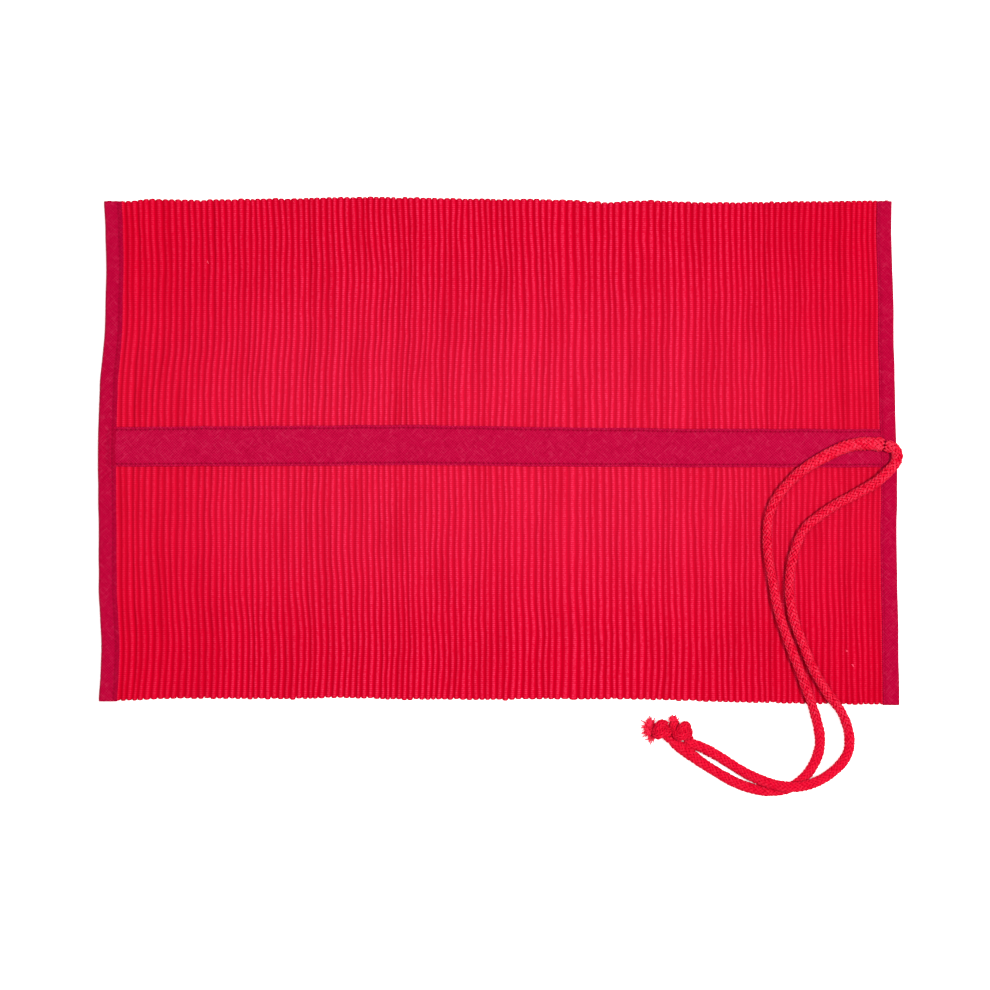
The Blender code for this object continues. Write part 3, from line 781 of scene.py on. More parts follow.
# yarns of two plies laid both ways round a path, passing over and under each other, and a core
def braid(path, radius, distance, felted, squeeze=None, squash=None, drop=None):
    look = cordLook
    frames = pathFrames(path)
    _, across, over = frames
    if drop is not None:
        path = path - drop[:, None] * [0, 0, 1]
    bundle = Bundle()
    noise = np.random.RandomState(7)
    shrink = np.ones(len(path)) if squash is None else squash
    spread = np.ones(len(path)) if squeeze is None else squeeze
    stretch = np.array([1, 1, 0]) * spread[:, None] + np.array([0, 0, 1]) * shrink[:, None]
    share = distance / distance[-1]
    cells = int(distance[-1] / mm / 3.0)
    apart = (look["yarnWidth"] - look["plyWidth"]) * radius * spread**0.5
    for way in (1, -1):
        for yarn in range(look["yarns"]):
            angle = 2 * math.pi * yarn / look["yarns"] + way * 2 * math.pi * distance / look["lay"]
            weave = look["paired"] * np.sin(4 * angle) + look["plain"] * np.cos(8 * angle)
            weave = np.tanh(look["sharpness"] * weave)
            out = radius * (1 - look["plyWidth"] * 1.25 - look["weaveDepth"] * (1 - way * weave))
            out = out * (1 + look["yarnVaries"] * softNoise(share, 0.5, cells, 1, 90 + yarn))
            ray = np.cos(angle)[:, None] * across + np.sin(angle)[:, None] * over
            line = path + out[:, None] * ray * stretch
            run = np.gradient(line, axis=0)
            run /= np.linalg.norm(run, axis=1, keepdims=True)
            side = np.cross(run, ray)
            side /= np.linalg.norm(side, axis=1, keepdims=True)
            lumps = 1 + look["lumps"] * softNoise(share, 0.5, cells * 2, 1, 130 + yarn)
            twist = 2 * math.pi * distance / look["plyTwist"] + noise.uniform(0, 6.28)
            for ply, sign in ((0, 1), (math.pi, -1)):
                aside = (0.35 + 0.65 * np.abs(np.cos(twist))) * sign
                risen = look["plyRise"] * apart * np.sin(twist + ply)
                shift = (apart * aside)[:, None] * side + risen[:, None] * ray
                varied = lumps * spread**0.5 * (1 + look["plyVaries"] * noise.randn())
                width = radius * look["plyWidth"] * varied
                rings = tubePoints(line + shift, width, 6, (run, side, np.cross(run, side)))
                reach = np.linalg.norm((rings - path[:, None]) / stretch[:, None], axis=2) / radius[:, None]
                shade = np.clip(look["yarnShade"][0] + look["yarnShade"][1] * noise.randn(), 0.4, 1)
                # tone: painted shade on the yarns deep in the braid, painted highlight on the outermost, and
                # darker painted shade at the blunt end under the thread bar; on the table it evens out to a
                # middle tone
                tone = ease((reach - look["deepest"]) / 0.20) * shade * np.clip(spread, 0, 1)[:, None] ** 2
                bundle.add(rings, tone + (look["feltedTone"] - tone) * felted[:, None])
    # the core gets painted shade, so it shows dark between the yarns
    bundle.add(tubePoints(path, radius * look["core"] * np.minimum(shrink, spread), 10, frames), 0.05)
    return bundle


fibreLook = {
    "lean": (-0.35, 0.75),        # up or down as they leave
    "rootSpread": (1.02 * mm, 1.7 * mm, 1.7 * mm),
    "curl": 0.6,
    "droop": 0.25,
    "waves": (1.5, 4),
    "waviness": 0.06,
    "taper": 0.25,
}


# loose yarn ends that fan out from a root point and settle on the table
def frayFibres(bundle, root, heading, spread, count, length, thickness, seed):
    look = fibreLook
    noise = np.random.RandomState(seed)
    t = np.linspace(0, 1, 8)[:, None]
    for _ in range(count):
        turn = math.radians(heading + spread * noise.uniform(-1, 1))
        way = np.array([math.cos(turn), math.sin(turn), noise.uniform(*look["lean"])])
        way /= np.linalg.norm(way)
        start = np.array(root) + noise.uniform(-1, 1, 3) * look["rootSpread"]
        bendTo = noise.randn(3) * look["curl"] * [1, 1, 0.5]
        reach = length * noise.uniform(0.8, 1.05)
        line = start + way * reach * t + bendTo * reach * 0.3 * t**2
        line[:, 2] -= reach * look["droop"] * t[:, 0] ** 2
        waves = np.sin(t * math.pi * noise.uniform(*look["waves"]))
        line += waves * noise.randn(3) * reach * look["waviness"]
        line[:, 2] = np.maximum(line[:, 2], thickness + 0.05 * mm)
        radius = thickness * (1 - look["taper"] * t[:, 0] ** 2)
        bundle.add(tubePoints(line, radius, 6), float(np.clip(noise.uniform(0.45, 1.2), 0, 1)))


strandLook = {
    "step": 0.72 * mm,
    "fineStep": 0.15 * mm,        # at the thread bar
    "smoothings": 4,
    "fullness": 1.02,
    "widthVaries": 0.045,
    "pulledIn": (3 * mm, 1 * mm, 3.5 * mm),    # into the knot, and out of it before the tail
    "table": (180 * mm, 20 * mm),    # where the strand comes down from the cloth, and over what run
    "tableSpread": 0.12,
    "tableFelting": 0.62,         # how far its yarns blur into each other there
    "plump": (20 * mm, 45 * mm),    # how long its start stays plump, and over what run that ends
    "opening": (26 * mm, 12 * mm),    # how far before the knot the braid opens, and over what run
    "clearance": 0.08 * mm,
    "blunt": (0.75 * mm, 0.7 * mm),    # its end under the thread bar
    "dropDepth": 2.4 * mm,
    "dropRun": 1.3 * mm,
    "bulge": (0.12, 2.6 * mm, 1.8 * mm),    # how much it swells beside the bar, where, and how far
}


# one strand of the cord, braided in one run and split where its knot begins
def strand(name, route, knotLook, knotName):
    look = strandLook
    knotLine = placeKnot(tiedLine, knotLook)
    lead = smoothPath(route, 1.0 * mm)
    join = bridge(lead[-1], lead[-1] - lead[-2], knotLine[0], knotLine[1] - knotLine[0], 12)
    path = evenPath(np.concatenate([lead, join, evenPath(knotLine, 1.0 * mm)]), look["step"])
    for _ in range(look["smoothings"]):
        path[1:-1] += ((path[:-2] + path[2:]) / 2 - path[1:-1]) * 0.5
    path = np.concatenate([evenPath(path[:7], look["fineStep"])[:-1], path[6:]])
    distance = np.concatenate([[0], np.cumsum(np.linalg.norm(np.diff(path, axis=0), axis=1))])
    near = int(np.argmin(np.linalg.norm(path - knotLine[0], axis=1)))
    left = distance[-1] - distance
    toKnot = distance[near] - distance

    pullRun, freeTail, freeRun = look["pulledIn"]
    grip = ease(-toKnot / pullRun) * ease((left - freeTail) / freeRun)
    radius = cordLook["diameter"] / 2 * (1 - grip) + tyingLook["plump"] / 2 * grip
    varied = softNoise(distance / distance[-1], 0.5, 85, 2, 11)
    radius = radius * (look["fullness"] + look["widthVaries"] * varied)
    onTable = ease((distance - look["table"][0]) / look["table"][1])
    radius = radius * (1 + look["tableSpread"] * onTable * (1 - grip))
    plump = 1 + knotLook["plumpStart"] * (1 - ease((distance - look["plump"][0]) / look["plump"][1]))
    opening = ease((look["opening"][0] - toKnot) / look["opening"][1]) * (1 - grip)
    radius = radius * plump * (1 + knotLook["swell"] * opening)
    path[:, 2] = np.maximum(path[:, 2], radius + look["clearance"])

    # its start is drawn down and pressed flat under the thread bar
    blunt = roundedOff(distance - look["blunt"][0], look["blunt"][1])
    drop = look["dropDepth"] * (1 - ease(distance / look["dropRun"]))
    squash = (0.20 + 0.80 * blunt) / plump**0.7
    bulge, bulgeAt, bulgeWidth = look["bulge"]
    squeeze = 0.30 + 0.70 * blunt + bulge * bell(distance - bulgeAt, bulgeWidth)
    felted = look["tableFelting"] * onTable
    end = near + 1
    cord = braid(path[:end], radius[:end], distance[:end], felted[:end],
                 squeeze[:end], squash[:end], drop[:end])
    knot = braid(path[near:], radius[near:], distance[near:], felted[near:])
    return (cord.build(name, yarnMaterial), knot.build(knotName, yarnMaterial),
            path[:end], path[near:], distance[near])


leftKnotLook = {
    "centre": (87.3, -148.3),
    "heading": 192,
    "roll": 18,
    "press": (0.76, 0.84, 0.72),  # its length, width and height once it is pulled tight
    "swell": 0.12,                # how much the braid opens just before it
    "plumpStart": 0.34,           # and how much by the thread bar
    "before": 4.5 * mm,
    "after": 4.5 * mm,
    "tail": (81.5, -147.4),       # where the yarns come apart
    "tailHeight": 3.9 * mm,
    "tailHeading": 178,
}
rightKnotLook = {
    "centre": (99.1, -149.1),
    "heading": 184,
    "roll": 15,
    "press": (0.68, 0.84, 0.72),
    "swell": 0.02,
    "plumpStart": 0.16,
    "before": 3.0 * mm,
    "after": 4.5 * mm,
    "tail": (93.3, -144.4),
    "tailHeight": 4.0 * mm,
    "tailHeading": 98,
}
tiedLine = tightKnot(tyingLook)
leftCord, leftKnot, leftPath, leftKnotPath, leftLength = strand(
    "leftStrand", leftRoute, leftKnotLook, "leftKnot")
rightCord, rightKnot, rightPath, rightKnotPath, rightLength = strand(
    "rightStrand", rightRoute, rightKnotLook, "rightKnot")
print("cord strands braided and knotted:", round(leftLength, 4), round(rightLength, 4))

# the loose yarn ends get brighter colours than the cord: painted light that lifts the shade inside their
# dense tufts
frayLitDye = dict(cordLook, crest=(0.80, 0.026, 0.068, 1.0), body=(0.66, 0.010, 0.040, 1.0),
               shade=(0.44, 0.002, 0.020, 1.0))
leftFrayLook = {
    "tufts": [
        # aside and up from the tail's end, heading, spread, yarn ends, length and thickness in mm, seed
        (0.0, 0.0, 178, 96, 150, 3.9, 0.36, 3),
        (-0.6, 1.4, 98, 20, 22, 3.0, 0.34, 12),
        (-0.6, -2.6, 262, 16, 12, 4.4, 0.30, 13),
        (0.0, 0.0, 180, 85, 50, 5.2, 0.09, 4),
    ],
    # single fibres that reach out past the tufts, in mm
    "fibreEnds": [(75.4, -143.1), (75.9, -146.6), (75.3, -147.7), (76.2, -153.2),
                  (81.3, -156.6), (82.9, -155.1)],
}
rightFrayLook = {
    "tufts": [
        (0.0, 0.0, 96, 62, 90, 2.4, 0.34, 5),
        (0.0, 0.0, 96, 60, 24, 3.0, 0.09, 6),
    ],
    "fibreEnds": [],
}


def looseFibres(bundle, root, ends):
    noise = np.random.RandomState(8)
    for x, y in ends:
        start = root + noise.uniform(-0.8, 0.8, 3) * mm
        end = np.array([x * mm, y * mm, 0.6 * mm])
        away = end - start
        line = bridge(start, away + noise.randn(3) * 1.5 * mm, end, away + noise.randn(3) * 2 * mm, 12)
        bundle.add(tubePoints(line, np.linspace(0.36, 0.26, len(line)) * mm, 6), 1.0)


def fray(name, root, look):
    bundle = Bundle()
    for aside, up, heading, spread, count, length, thickness, seed in look["tufts"]:
        place = root + np.array([aside, up, 0]) * mm
        frayFibres(bundle, place, heading, spread, count, length * mm, thickness * mm, seed)
    looseFibres(bundle, root, look["fibreEnds"])
    return bundle.build(name, frayMaterial)


frayMaterial = cottonYarn(frayLitDye, "frayedYarn")
leftFray = fray("leftFray", leftKnotPath[-1], leftFrayLook)
rightFray = fray("rightFray", rightKnotPath[-1], rightFrayLook)
print("tails frayed")

for piece, node in ((leftCord, "tie_cord_left"), (rightCord, "tie_cord_right"),
                    (leftKnot, "left_knot"), (rightKnot, "right_knot")):
    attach(piece, "root")
    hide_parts(node)
for piece in (leftFray, rightFray):
    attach(piece, "root")


# the ribbed cloth

pitchRows = [
    # across from -1 to 1, pitch as a share of the mean
    (-1.0, 1.04), (-0.81, 1.04), (-0.56, 0.99), (-0.31, 0.94), (-0.06, 0.965),
    (0.19, 1.105), (0.44, 1.04), (0.69, 0.96), (1.0, 0.97),
]


def ribEdges(count):
    across = 2 * (np.arange(count) + 0.5) / count - 1
    pitches = np.interp(across, [row[0] for row in pitchRows], [row[1] for row in pitchRows])
    pitches = pitches * (1 + matLook["pitchVaries"] * np.random.RandomState(21).randn(count))
    return np.concatenate([[0], np.cumsum(pitches)]) / pitches.sum()


# how high the bindings and the band keep the cloth, easing down to the table between them
def liftOfMat(x, y):
    held, run = matLook["liftedEnds"]
    atEnd = ease((held - np.minimum(x + halfLength, halfLength - x)) / run)
    centre, held, run = matLook["liftedMiddle"]
    atBand = 1 - ease((np.abs(y - centre) - held) / run) ** 0.7
    return matLift * (1 - (1 - atEnd) * (1 - atBand))


# how much the cloth swells up along the two seams, from 0 to 1
def besideBindings(x, y):
    leftInset, rightInset = matLook["swellInset"]
    left = tableLine(sideRows, 1, y) + leftInset
    right = tableLine(sideRows, 2, y) - rightInset
    return bell(x - left, matLook["swellWidth"]) + bell(x - right, matLook["swellWidth"])


# y and depth from the nearer edge for each row, from the bottom edge to the top
def rowsOf(bottom, top, edgeSteps, count):
    nearEdge = np.array(edgeSteps) * mm
    between = np.linspace(0, 1, count)[1:-1]
    last = nearEdge[-1]
    rows = [bottom + step for step in nearEdge]
    rows += [bottom + last + share * (top - bottom - 2 * last) for share in between]
    rows += [top - step for step in nearEdge[::-1]]
    depths = np.concatenate([nearEdge, np.full(len(between), 10 * mm), nearEdge[::-1]])
    return np.array(rows), depths[:, None] * np.ones(len(bottom))


def ribbedMat(look):
    ribs, steps = look["ribs"], look["stepsPerRib"]
    edges = ribEdges(ribs)
    phase = np.arange(steps) / steps
    share = np.append((edges[:-1, None] + np.diff(edges)[:, None] * phase).ravel(), 1.0)
    rib = np.append(np.repeat(np.arange(ribs), steps), ribs - 1)
    phase = np.append(np.tile(phase, ribs), 0.0)
    crest = (0.5 - 0.5 * np.cos(2 * math.pi * phase)) ** 0.72
    noise = np.random.RandomState(5)
    ribHeight = 1 + look["heightVaries"] * noise.randn(ribs)[rib]
    ribReach = look["reachVaries"] * noise.randn(2, ribs)[:, rib]
    ribTone = np.clip(look["tone"][0] + look["tone"][1] * noise.randn(ribs), 0, 1)[rib]

    # rows on top, close together by the edges, then rows back underneath
    across = np.interp(share, [0, 1], look["ends"])
    rounding = look["roundedEnd"] * (1 - np.sqrt(np.clip(1 - (2 * phase - 1) ** 2, 0, 1)) ** 0.8)
    top = tableLine(edgeRows, 1, across) + ribReach[0] - rounding
    bottom = tableLine(edgeRows, 2, across) + ribReach[1] + rounding
    overRows, overDepths = rowsOf(bottom, top, look["edgeSteps"], 60)
    underRows, underDepths = rowsOf(bottom, top, look["underSteps"], 10)
    y = np.concatenate([overRows, underRows[::-1]])
    depth = np.concatenate([overDepths, underDepths[::-1]])
    over = np.arange(len(y))[:, None] < len(overRows)

    # each rib strays a little sideways
    left = tableLine(sideRows, 1, y) + 1.3 * mm
    right = tableLine(sideRows, 2, y) - 1.3 * mm
    v = shareOf(y, halfWidth)
    hold = ease(np.minimum(share, 1 - share) * 18)
    stray = sum(strength * softNoise(share, v, *cells) for strength, *cells in look["waves"])
    x = left + share * (right - left) + look["wander"] * stray * hold

    # the relief of the ribs, rounded off at the edges, on the cloth's own lie
    swell = 1 + look["crestSwells"] * softNoise(share, v, 129, 60, 34)
    valley = 1 + look["grooveVaries"] * softNoise(share, v, 100, 18, 35)
    for place, low, high in look["tightGrooves"]:
        alongGroove = ease((y / mm - low) / 8) * ease((high - y / mm) / 8)
        valley = valley + 0.5 * bell(x / mm - place, 1.3) * alongGroove
    edgeRound = roundedOff(depth, look["edgeRound"])
    overHeight = matThickness - look["grooveTop"] * (1 - crest * ribHeight * swell * 0.96) * valley
    underHeight = look["grooveUnder"] * (1 - crest)
    middle = matThickness / 2
    height = middle + (np.where(over, overHeight, underHeight) - middle) * edgeRound
    ripple = look["ripple"] * softNoise(share, v, 9, 5, 36)
    z = liftOfMat(x, y) + height + np.maximum(ripple, -0.05 * mm)
    z = z + look["seamSwell"] * besideBindings(x, y) * ease((look["swellEnds"] - np.abs(y)) / 0.01)
    z = np.maximum(z, np.where(over, 0.4 * mm, 0.02 * mm))

    rows, columns = y.shape
    faces = gridFaces(rows, columns, closedRows=True)
    side = np.arange(rows) * columns
    piece = makeMesh("ribbedMat", np.stack([x, y, z], -1), faces, matMaterial,
                     [side[::-1], side + columns - 1])
    # the crest attribute also steers the painted shade and highlight: lower underneath and at the rounded
    # edges
    addAttribute(piece, "crest", np.where(over, crest, crest * 0.9) * np.clip(edgeRound + 0.15, 0, 1))
    patch = 0.5 + 0.5 * softNoise(share, v, 40, 12, 37)
    addAttribute(piece, "tone", np.clip(ribTone * 0.55 + 0.45 * patch, 0, 1))
    return piece


mat = ribbedMat(matLook)
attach(mat, "root")
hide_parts("ribbed_mat")
print("ribbed mat woven:", len(mat.data.polygons), "faces")


def matTop(x, y):
    return liftOfMat(x, y) + matThickness


# the tapes: one sewn along the middle, one folded round each cut end

bindingLook = {
    "leftWidth": [(-135.4, 9.6), (-60.0, 9.5), (0.0, 9.7), (70.0, 9.2), (135.4, 9.2)],
    "rightWidth": [(-135.4, 8.6), (-60.0, 8.5), (0.0, 8.4), (70.0, 8.1), (135.4, 7.7)],
    "foldDepth": 1.5 * mm,
    "step": 0.5 * mm,             # a fifth of a stitch, so that every needle hole is met
    "overTape": 0.75 * mm,        # how much it rises where the middle tape runs under it
    "seamInset": {"left": 1.9 * mm, "right": 1.0 * mm},
    "seamShade": {"left": 0.42, "right": 0.0},      # painted shadow on the strip inside the seam, which is pressed into the ribs and shaded by them
    "drawnDown": {"left": 0.75 * mm, "right": 0.45 * mm},
    "dips": {"left": 0.6, "right": 0.18},
    "drawnOver": 2.4 * mm,
    "roundEdge": 0.045,           # how far the inner edge bulges, as a share of the width
    "tapeUnder": (1.6 * mm, 8.6 * mm, 1.6 * mm),    # the middle tape's centre, half width and slope
    "uneven": 0.12 * mm,
    "ripple": 0.10 * mm,
    "waves": 0.14,                # half the length over which the unevenness is laid out, in metres
}
middleTapeLook = {
    # across, centre line, width
    "line": [(-213.0, 2.1, 20.2), (-110.0, 2.7, 20.5), (-52.0, 3.1, 20.5), (30.0, 2.2, 20.0),
             (107.0, 1.45, 19.6), (213.0, 1.4, 19.5)],
    "step": 0.5 * mm,
    "under": 3.0 * mm,            # how far its ends run in under the bindings
    "uneven": 0.16 * mm,
    "puff": 0.12 * mm,
    "waves": 0.22,
    "roundSide": 0.035,
}


def rowAt(rows, place, column=1):
    return np.interp(place, [row[0] * mm for row in rows], [row[column] * mm for row in rows])


# how strongly the cloth is drawn down at the needle holes, from 0 to 1
def dipsAt(along, start, end, look):
    stitches = (along - start) / look["stitch"]
    inside = (along > start - look["stitch"] / 2) & (along < end + look["stitch"] / 2)
    return bell((stitches - np.round(stitches)) * look["stitch"], look["dipWidth"]) * inside


# machine stitches between the needle holes of one row; lineAt gives their place
def stitchRow(bundle, start, end, lineAt, look, seed):
    noise = np.random.RandomState(seed)
    t = np.linspace(0, 1, 7)
    for hole in np.arange(start, end - look["stitch"] * 0.5, look["stitch"]):
        along = hole + look["stitch"] * (0.06 + 0.88 * t)
        line = lineAt(along)
        line[:, 2] += look["stitchArch"] * np.sin(math.pi * t) ** 0.6 - look["stitchSunk"]
        line[:, :2] += 0.03 * mm * noise.randn(1, 2)
        bundle.add(tubePoints(line, threadLook["radius"] * np.sin(math.pi * (0.12 + 0.76 * t)) ** 0.5, 6))


# how much a binding rises where the middle tape runs under it
def riseOverTape(y):
    look = bindingLook
    centre, half, slope = look["tapeUnder"]
    return look["overTape"] * bell(np.maximum(np.abs(y - centre) - half, 0), slope)


# tape folded round one end: a U of cloth whose upper leg is drawn down along its stitches
def binding(side):
    look = bindingLook
    inward, column = (1, 1) if side == "left" else (-1, 2)
    thickness, top, fold = tapeLook["thickness"], bindingTop, look["foldDepth"]
    inset, drawn, dips = look["seamInset"][side], look["drawnDown"][side], look["dips"][side]
    corner = np.array([-inward * 0.212])
    lowY = float(tableLine(edgeRows, 2, corner)[0])
    highY = float(tableLine(edgeRows, 1, corner)[0]) - 0.4 * mm
    y = np.append(np.arange(lowY, highY, look["step"]), highY)
    firstHole, lastHole = y[4], y[-1] - 2 * mm
    waver = look["uneven"] * softNoise(shareOf(y, look["waves"]), 0.5, 30, 2, 41 + column)
    outer = (tableLine(sideRows, column, y) + waver)[:, None]
    width = rowAt(look[side + "Width"], y)[:, None]
    along = y[:, None]

    # the section: depth of its outer part, height, share of the upper leg, reach to the inner edge
    section = [(fold, 0.02 * mm, 0.0, s) for s in np.linspace(1, 0, 6)]    # underneath
    section += [(fold * (1 - math.cos(a)), top / 2 * (1 + math.sin(a)), (1 + math.sin(a)) / 2, 0.0)
                for a in np.linspace(-math.pi / 2, math.pi / 2, 12)[1:-1]]    # the outer fold
    section += [(fold, top, 1.0, s) for s in np.linspace(0, 1, 21)]    # on top
    section += [(fold, top - thickness * (1 - math.cos(a)) / 2, 1.0, 1.0 + look["roundEdge"] * math.sin(a))
                for a in (0.6, 1.3, 1.9)]    # round the upper leg's inner edge
    section += [(fold, top - thickness, 1.0, s * 0.98) for s in np.linspace(1, 0, 5)]    # and inside
    section += [(fold, thickness, 0.0, s * 0.98) for s in np.linspace(0, 1, 5)]
    depth, height, upper, reach = np.array(section).T[:, None]

    x = depth + reach * (width - fold)
    upperLeg = (upper > 0.9) & (height > thickness * 1.5)
    onTop = (upper > 0.9) & (height > top - thickness * 0.9)
    nearEdge = ease((x - (width - 5.5 * mm)) / (3.0 * mm))
    z = height + upper * riseOverTape(along) * nearEdge * (height > thickness * 1.5)
    z = z - drawn * ease((x - width + look["drawnOver"]) / look["drawnOver"]) * upperLeg
    seam = bell(x - (width - inset), tapeLook["seamWidth"])
    holes = dipsAt(along, firstHole, lastHole, tapeLook)
    z = z - onTop * seam * dips * (tapeLook["seamDepth"] + tapeLook["dipDepth"] * holes)
    wave = softNoise(shareOf(along, look["waves"]), x / (9 * mm), 46, 3, 44 + column)
    z = z + onTop * look["ripple"] * wave * ease(x / (2 * mm))
    close = roundedOff(np.minimum(along - y[0], y[-1] - along), 0.7 * mm)
    z = top / 2 + (z - top / 2) * (0.72 + 0.28 * close)
    points = np.stack([outer + inward * x, np.broadcast_to(along, x.shape), z], -1)
    piece = tubeMesh(side + "Binding", points, foldedMaterial, mirrored=inward < 0)
    # painted shadow cast by the ribs onto the strip inside the seam
    strip = ease((x - (width - inset) + 0.4 * mm) / (0.8 * mm)) * look["seamShade"][side]
    # painted shade in the seam dip and its needle holes
    stitchShade = seam * dips * (0.15 + 0.8 * holes)
    addAttribute(piece, "paintedShade", np.clip(onTop * (stitchShade + strip), 0, 1))

    def seamAt(at):
        edge = tableLine(sideRows, column, at) + inward * (rowAt(look[side + "Width"], at) - inset)
        sunk = drawn * ease((look["drawnOver"] - inset) / look["drawnOver"]) + 0.06 * mm
        return np.stack([edge, at, top + riseOverTape(at) - sunk], 1)

    stitches = Bundle()
    stitchRow(stitches, firstHole, lastHole, seamAt, tapeLook, 50 + column)
    return piece, stitches.build(side + "BindingStitches", threadMaterial)


def middleTape(look):
    rows = look["line"]
    thickness, inset = tapeLook["thickness"], tapeLook["stitchInset"]
    leftInner = tableLine(sideRows, 1, np.array([2 * mm]))[0] + rowAt(bindingLook["leftWidth"], 2 * mm)
    rightInner = tableLine(sideRows, 2, np.array([2 * mm]))[0] - rowAt(bindingLook["rightWidth"], 2 * mm)
    x = np.arange(leftInner - look["under"], rightInner + look["under"], look["step"])
    firstHole, lastHole = x[7], rightInner - 0.5 * mm
    along = x[:, None]

    def centreAt(place):
        return rowAt(rows, place) + look["uneven"] * softNoise(shareOf(place, look["waves"]), 0.5, 70, 2, 61)

    # the section: offset as a share of half the width, height as a share of the thickness, on top
    upperSide = [*np.linspace(-1, -0.8, 8), *np.linspace(-0.72, 0.72, 11), *np.linspace(0.8, 1, 8)]
    rounded = [(1.0 + look["roundSide"] * math.sin(a), 0.5 + 0.5 * math.cos(a))
               for a in np.linspace(0.25 * math.pi, 0.75 * math.pi, 3)]
    section = [(s, 1.0, 1.0) for s in upperSide]
    section += [(s, h, 0.0) for s, h in rounded]
    section += [(s, 0.0, 0.0) for s in np.linspace(1, -1, 7)]
    section += [(-s, h, 0.0) for s, h in rounded[::-1]]
    offset, height, onTop = np.array(section).T[:, None]

    half = rowAt(rows, x, 2)[:, None] / 2
    y = centreAt(x)[:, None] + offset * half
    base = tapeFloor + 0.02 * mm
    seam = bell(half - inset - np.abs(offset) * half, tapeLook["seamWidth"])
    holes = dipsAt(along, firstHole, lastHole, tapeLook)
    puff = look["puff"] * softNoise(shareOf(along, look["waves"]), shareOf(offset, 1.2), 130, 4, 62)
    z = base + height * thickness
    z = z + onTop * (puff - seam * (tapeLook["seamDepth"] + tapeLook["dipDepth"] * holes))
    z = z - onTop * 0.2 * mm * ease((np.abs(offset) - 0.93) / 0.07)
    points = np.stack([np.broadcast_to(along, y.shape), y, z], -1)
    piece = tubeMesh("middleTape", points, tapeMaterial, mirrored=True)
    # painted shade in the seam dips and needle holes
    addAttribute(piece, "paintedShade", np.clip(onTop * seam * (0.2 + 0.8 * holes), 0, 1))

    stitches = Bundle()
    for sign in (-1, 1):
        def seamAt(at, sign=sign):
            level = np.full_like(at, base + thickness - 0.08 * mm)
            return np.stack([at, centreAt(at) + sign * (rowAt(rows, at, 2) / 2 - inset), level], 1)
        stitchRow(stitches, firstHole, lastHole, seamAt, tapeLook, 70 + sign)
    return piece, stitches.build("middleTapeStitches", threadMaterial)


leftBinding, leftStitches = binding("left")
rightBinding, rightStitches = binding("right")
tape, tapeStitches = middleTape(middleTapeLook)
for piece, node in ((leftBinding, "left_binding"), (rightBinding, "right_binding"), (tape, "centre_tape")):
    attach(piece, "root")
    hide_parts(node)
for piece in (leftStitches, rightStitches, tapeStitches):
    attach(piece, "root")
print("tapes folded and sewn")


# the band underneath, and the bar of thread over the cord

bandLook = dict(tapeLook, threads=1400.0, turn=0.0, colour=seenColour(176, 8, 52),
                shade=seenColour(146, 0, 38), puckerEvery=25 * mm, pucker=0.012,
                hemInset=2 * mm, hemWidth=0.5 * mm, hemDepth=0.18 * mm)


def holdingBand(look):
    low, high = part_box("pencil_band")
    centre, half = (low + high) / 2, (high - low) / 2
    x = np.linspace(low.x, high.x, 330)[:, None]
    turn = np.linspace(0, 2 * math.pi, 40, endpoint=False)[None, :]
    flatCos = np.sign(np.cos(turn)) * np.abs(np.cos(turn)) ** 0.25
    flatSin = np.sign(np.sin(turn)) * np.abs(np.sin(turn)) ** 0.35
    waist = 1 - look["pucker"] * np.cos(2 * math.pi * x / look["puckerEvery"]) ** 8
    y = centre.y + half.y * flatCos * waist
    hem = (flatSin < 0) * bell(np.abs(y - centre.y) - (half.y - look["hemInset"]), look["hemWidth"])
    z = centre.z + half.z * flatSin + look["hemDepth"] * hem
    points = np.stack([np.broadcast_to(x, y.shape), y, z], -1)
    piece = tubeMesh("holdingBand", points, crimsonTape(look, "wovenBand"))
    # painted shade in the hem's dip
    addAttribute(piece, "paintedShade", 0.6 * hem)
    return piece


barLook = {
    "wraps": 6,
    "width": 1.0 * mm,
    "halfLength": 2.4 * mm,
    "height": 0.8 * mm,
    "threadRadius": 0.16 * mm,
}


def threadBar(look):
    bundle = Bundle()
    noise = np.random.RandomState(9)
    turn = np.linspace(-0.12 * math.pi, 1.12 * math.pi, 15)
    for wrap in np.linspace(-0.5, 0.5, look["wraps"]):
        x = tackPoint[0] + wrap * look["width"] + 0.05 * mm * noise.randn()
        height = look["height"] + 0.1 * mm * noise.randn()
        line = np.stack([np.full(15, x) + 0.04 * mm * np.sin(turn * 3),
                         tackPoint[1] + look["halfLength"] * np.cos(turn),
                         bindingTop + 0.2 * mm + height * np.sin(turn)], 1)
        bundle.add(tubePoints(line, look["threadRadius"], 6))
    return bundle.build("threadBar", threadMaterial)


band = holdingBand(bandLook)
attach(band, "root")
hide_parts("pencil_band")
bar = threadBar(barLook)
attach(bar, "root")
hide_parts("cord_tack")
print("band and thread bar made")


# lint caught on the cloth

lintLook = {
    "spots": [(-154.8, 100.7), (188.4, -114.1), (185.2, -106.6)],    # in mm
    "hairs": 5,
    "thickness": 0.09 * mm,
    "dye": dict(cordLook, crest=(1.0, 0.10, 0.20, 1.0), body=(0.95, 0.08, 0.17, 1.0)),
}


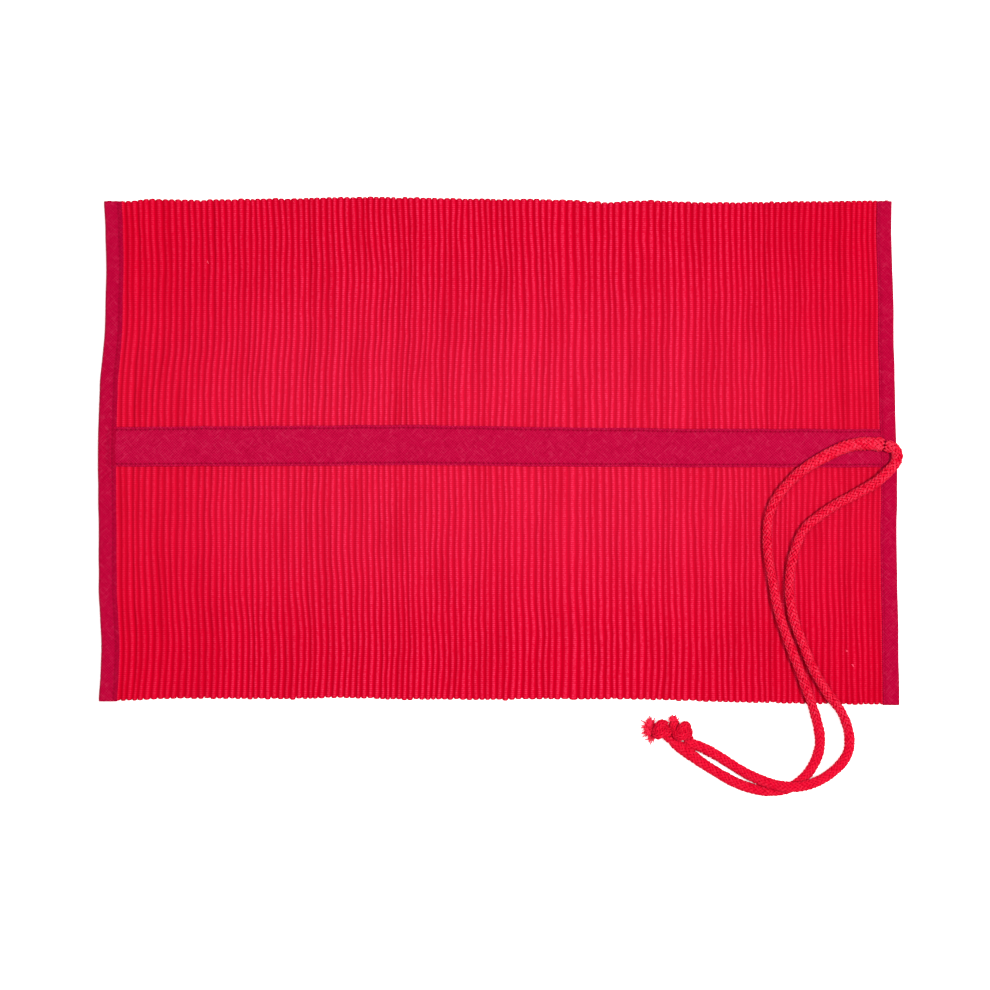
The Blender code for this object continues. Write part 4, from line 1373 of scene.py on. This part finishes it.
def lint(look):
    bundle = Bundle()
    noise = np.random.RandomState(15)
    t = np.linspace(0, 1, 8)[:, None]
    for spotX, spotY in look["spots"]:
        for _ in range(look["hairs"]):
            x, y = spotX * mm + 0.25 * mm * noise.randn(), spotY * mm + 0.25 * mm * noise.randn()
            way = noise.randn(3) * [1, 1, 0.15]
            start = np.array([x, y, float(matTop(x, y)) + 0.12 * mm])
            curl = noise.randn(3) * [0.5, 0.5, 0.05] * mm
            line = start + way * 0.5 * mm * (t - 0.5) + curl * (t - 0.5) ** 2
            bundle.add(tubePoints(line, look["thickness"], 4), 1.0)
    return bundle.build("lint", cottonYarn(look["dye"], "paleLint"))


lintPiece = lint(lintLook)
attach(lintPiece, "root")


# the studio: a pale floor and soft lights

studioLook = {
    "floor": (0.93, 0.93, 0.93, 1.0),
    "floorReach": 14.0,
    "floorDrop": 0.05 * mm,
    "floorGlow": 0.35,            # a light table, which takes most of the shadow off the floor
    "world": 0.48,
    "key": {"place": (1.0, 0.04, 2.8), "size": 0.5, "power": 90.0},
    "overhead": {"place": (-0.03, 0.0, 1.15), "size": 0.6, "power": 8.0},
}


def studio(look):
    mesh = bpy.data.meshes.new("floor")
    far = look["floorReach"]
    corners = [(-far, -far, 0), (far, -far, 0), (far, far, 0), (-far, far, 0)]
    mesh.from_pydata(corners, [], [(0, 1, 2, 3)])
    floor = bpy.data.objects.new("floor", mesh)
    floor.location.z = -look["floorDrop"]
    bpy.context.scene.collection.objects.link(floor)
    paper = bpy.data.materials.new("palePaper")
    paper.use_nodes = True
    shader = paper.node_tree.nodes["Principled BSDF"]
    shader.inputs["Base Color"].default_value = look["floor"]
    shader.inputs["Roughness"].default_value = 0.9
    shader.inputs["Specular IOR Level"].default_value = 0.1
    shader.inputs["Emission Color"].default_value = look["floor"]
    shader.inputs["Emission Strength"].default_value = look["floorGlow"]
    mesh.materials.append(paper)
    world = bpy.data.worlds.new("studio")
    world.use_nodes = True
    sky = world.node_tree.nodes["Background"]
    sky.inputs["Color"].default_value = (1, 1, 1, 1)
    sky.inputs["Strength"].default_value = look["world"]
    bpy.context.scene.world = world
    for name in ("key", "overhead"):
        lamp = look[name]
        data = bpy.data.lights.new(name, "AREA")
        data.shape = "SQUARE"
        data.size = lamp["size"]
        data.energy = lamp["power"]
        light = bpy.data.objects.new(name, data)
        light.location = lamp["place"]
        light.rotation_euler = (-Vector(lamp["place"])).to_track_quat("-Z", "Y").to_euler()
        bpy.context.scene.collection.objects.link(light)
    bpy.context.scene.view_settings.view_transform = "Standard"


studio(studioLook)
print("studio lit")
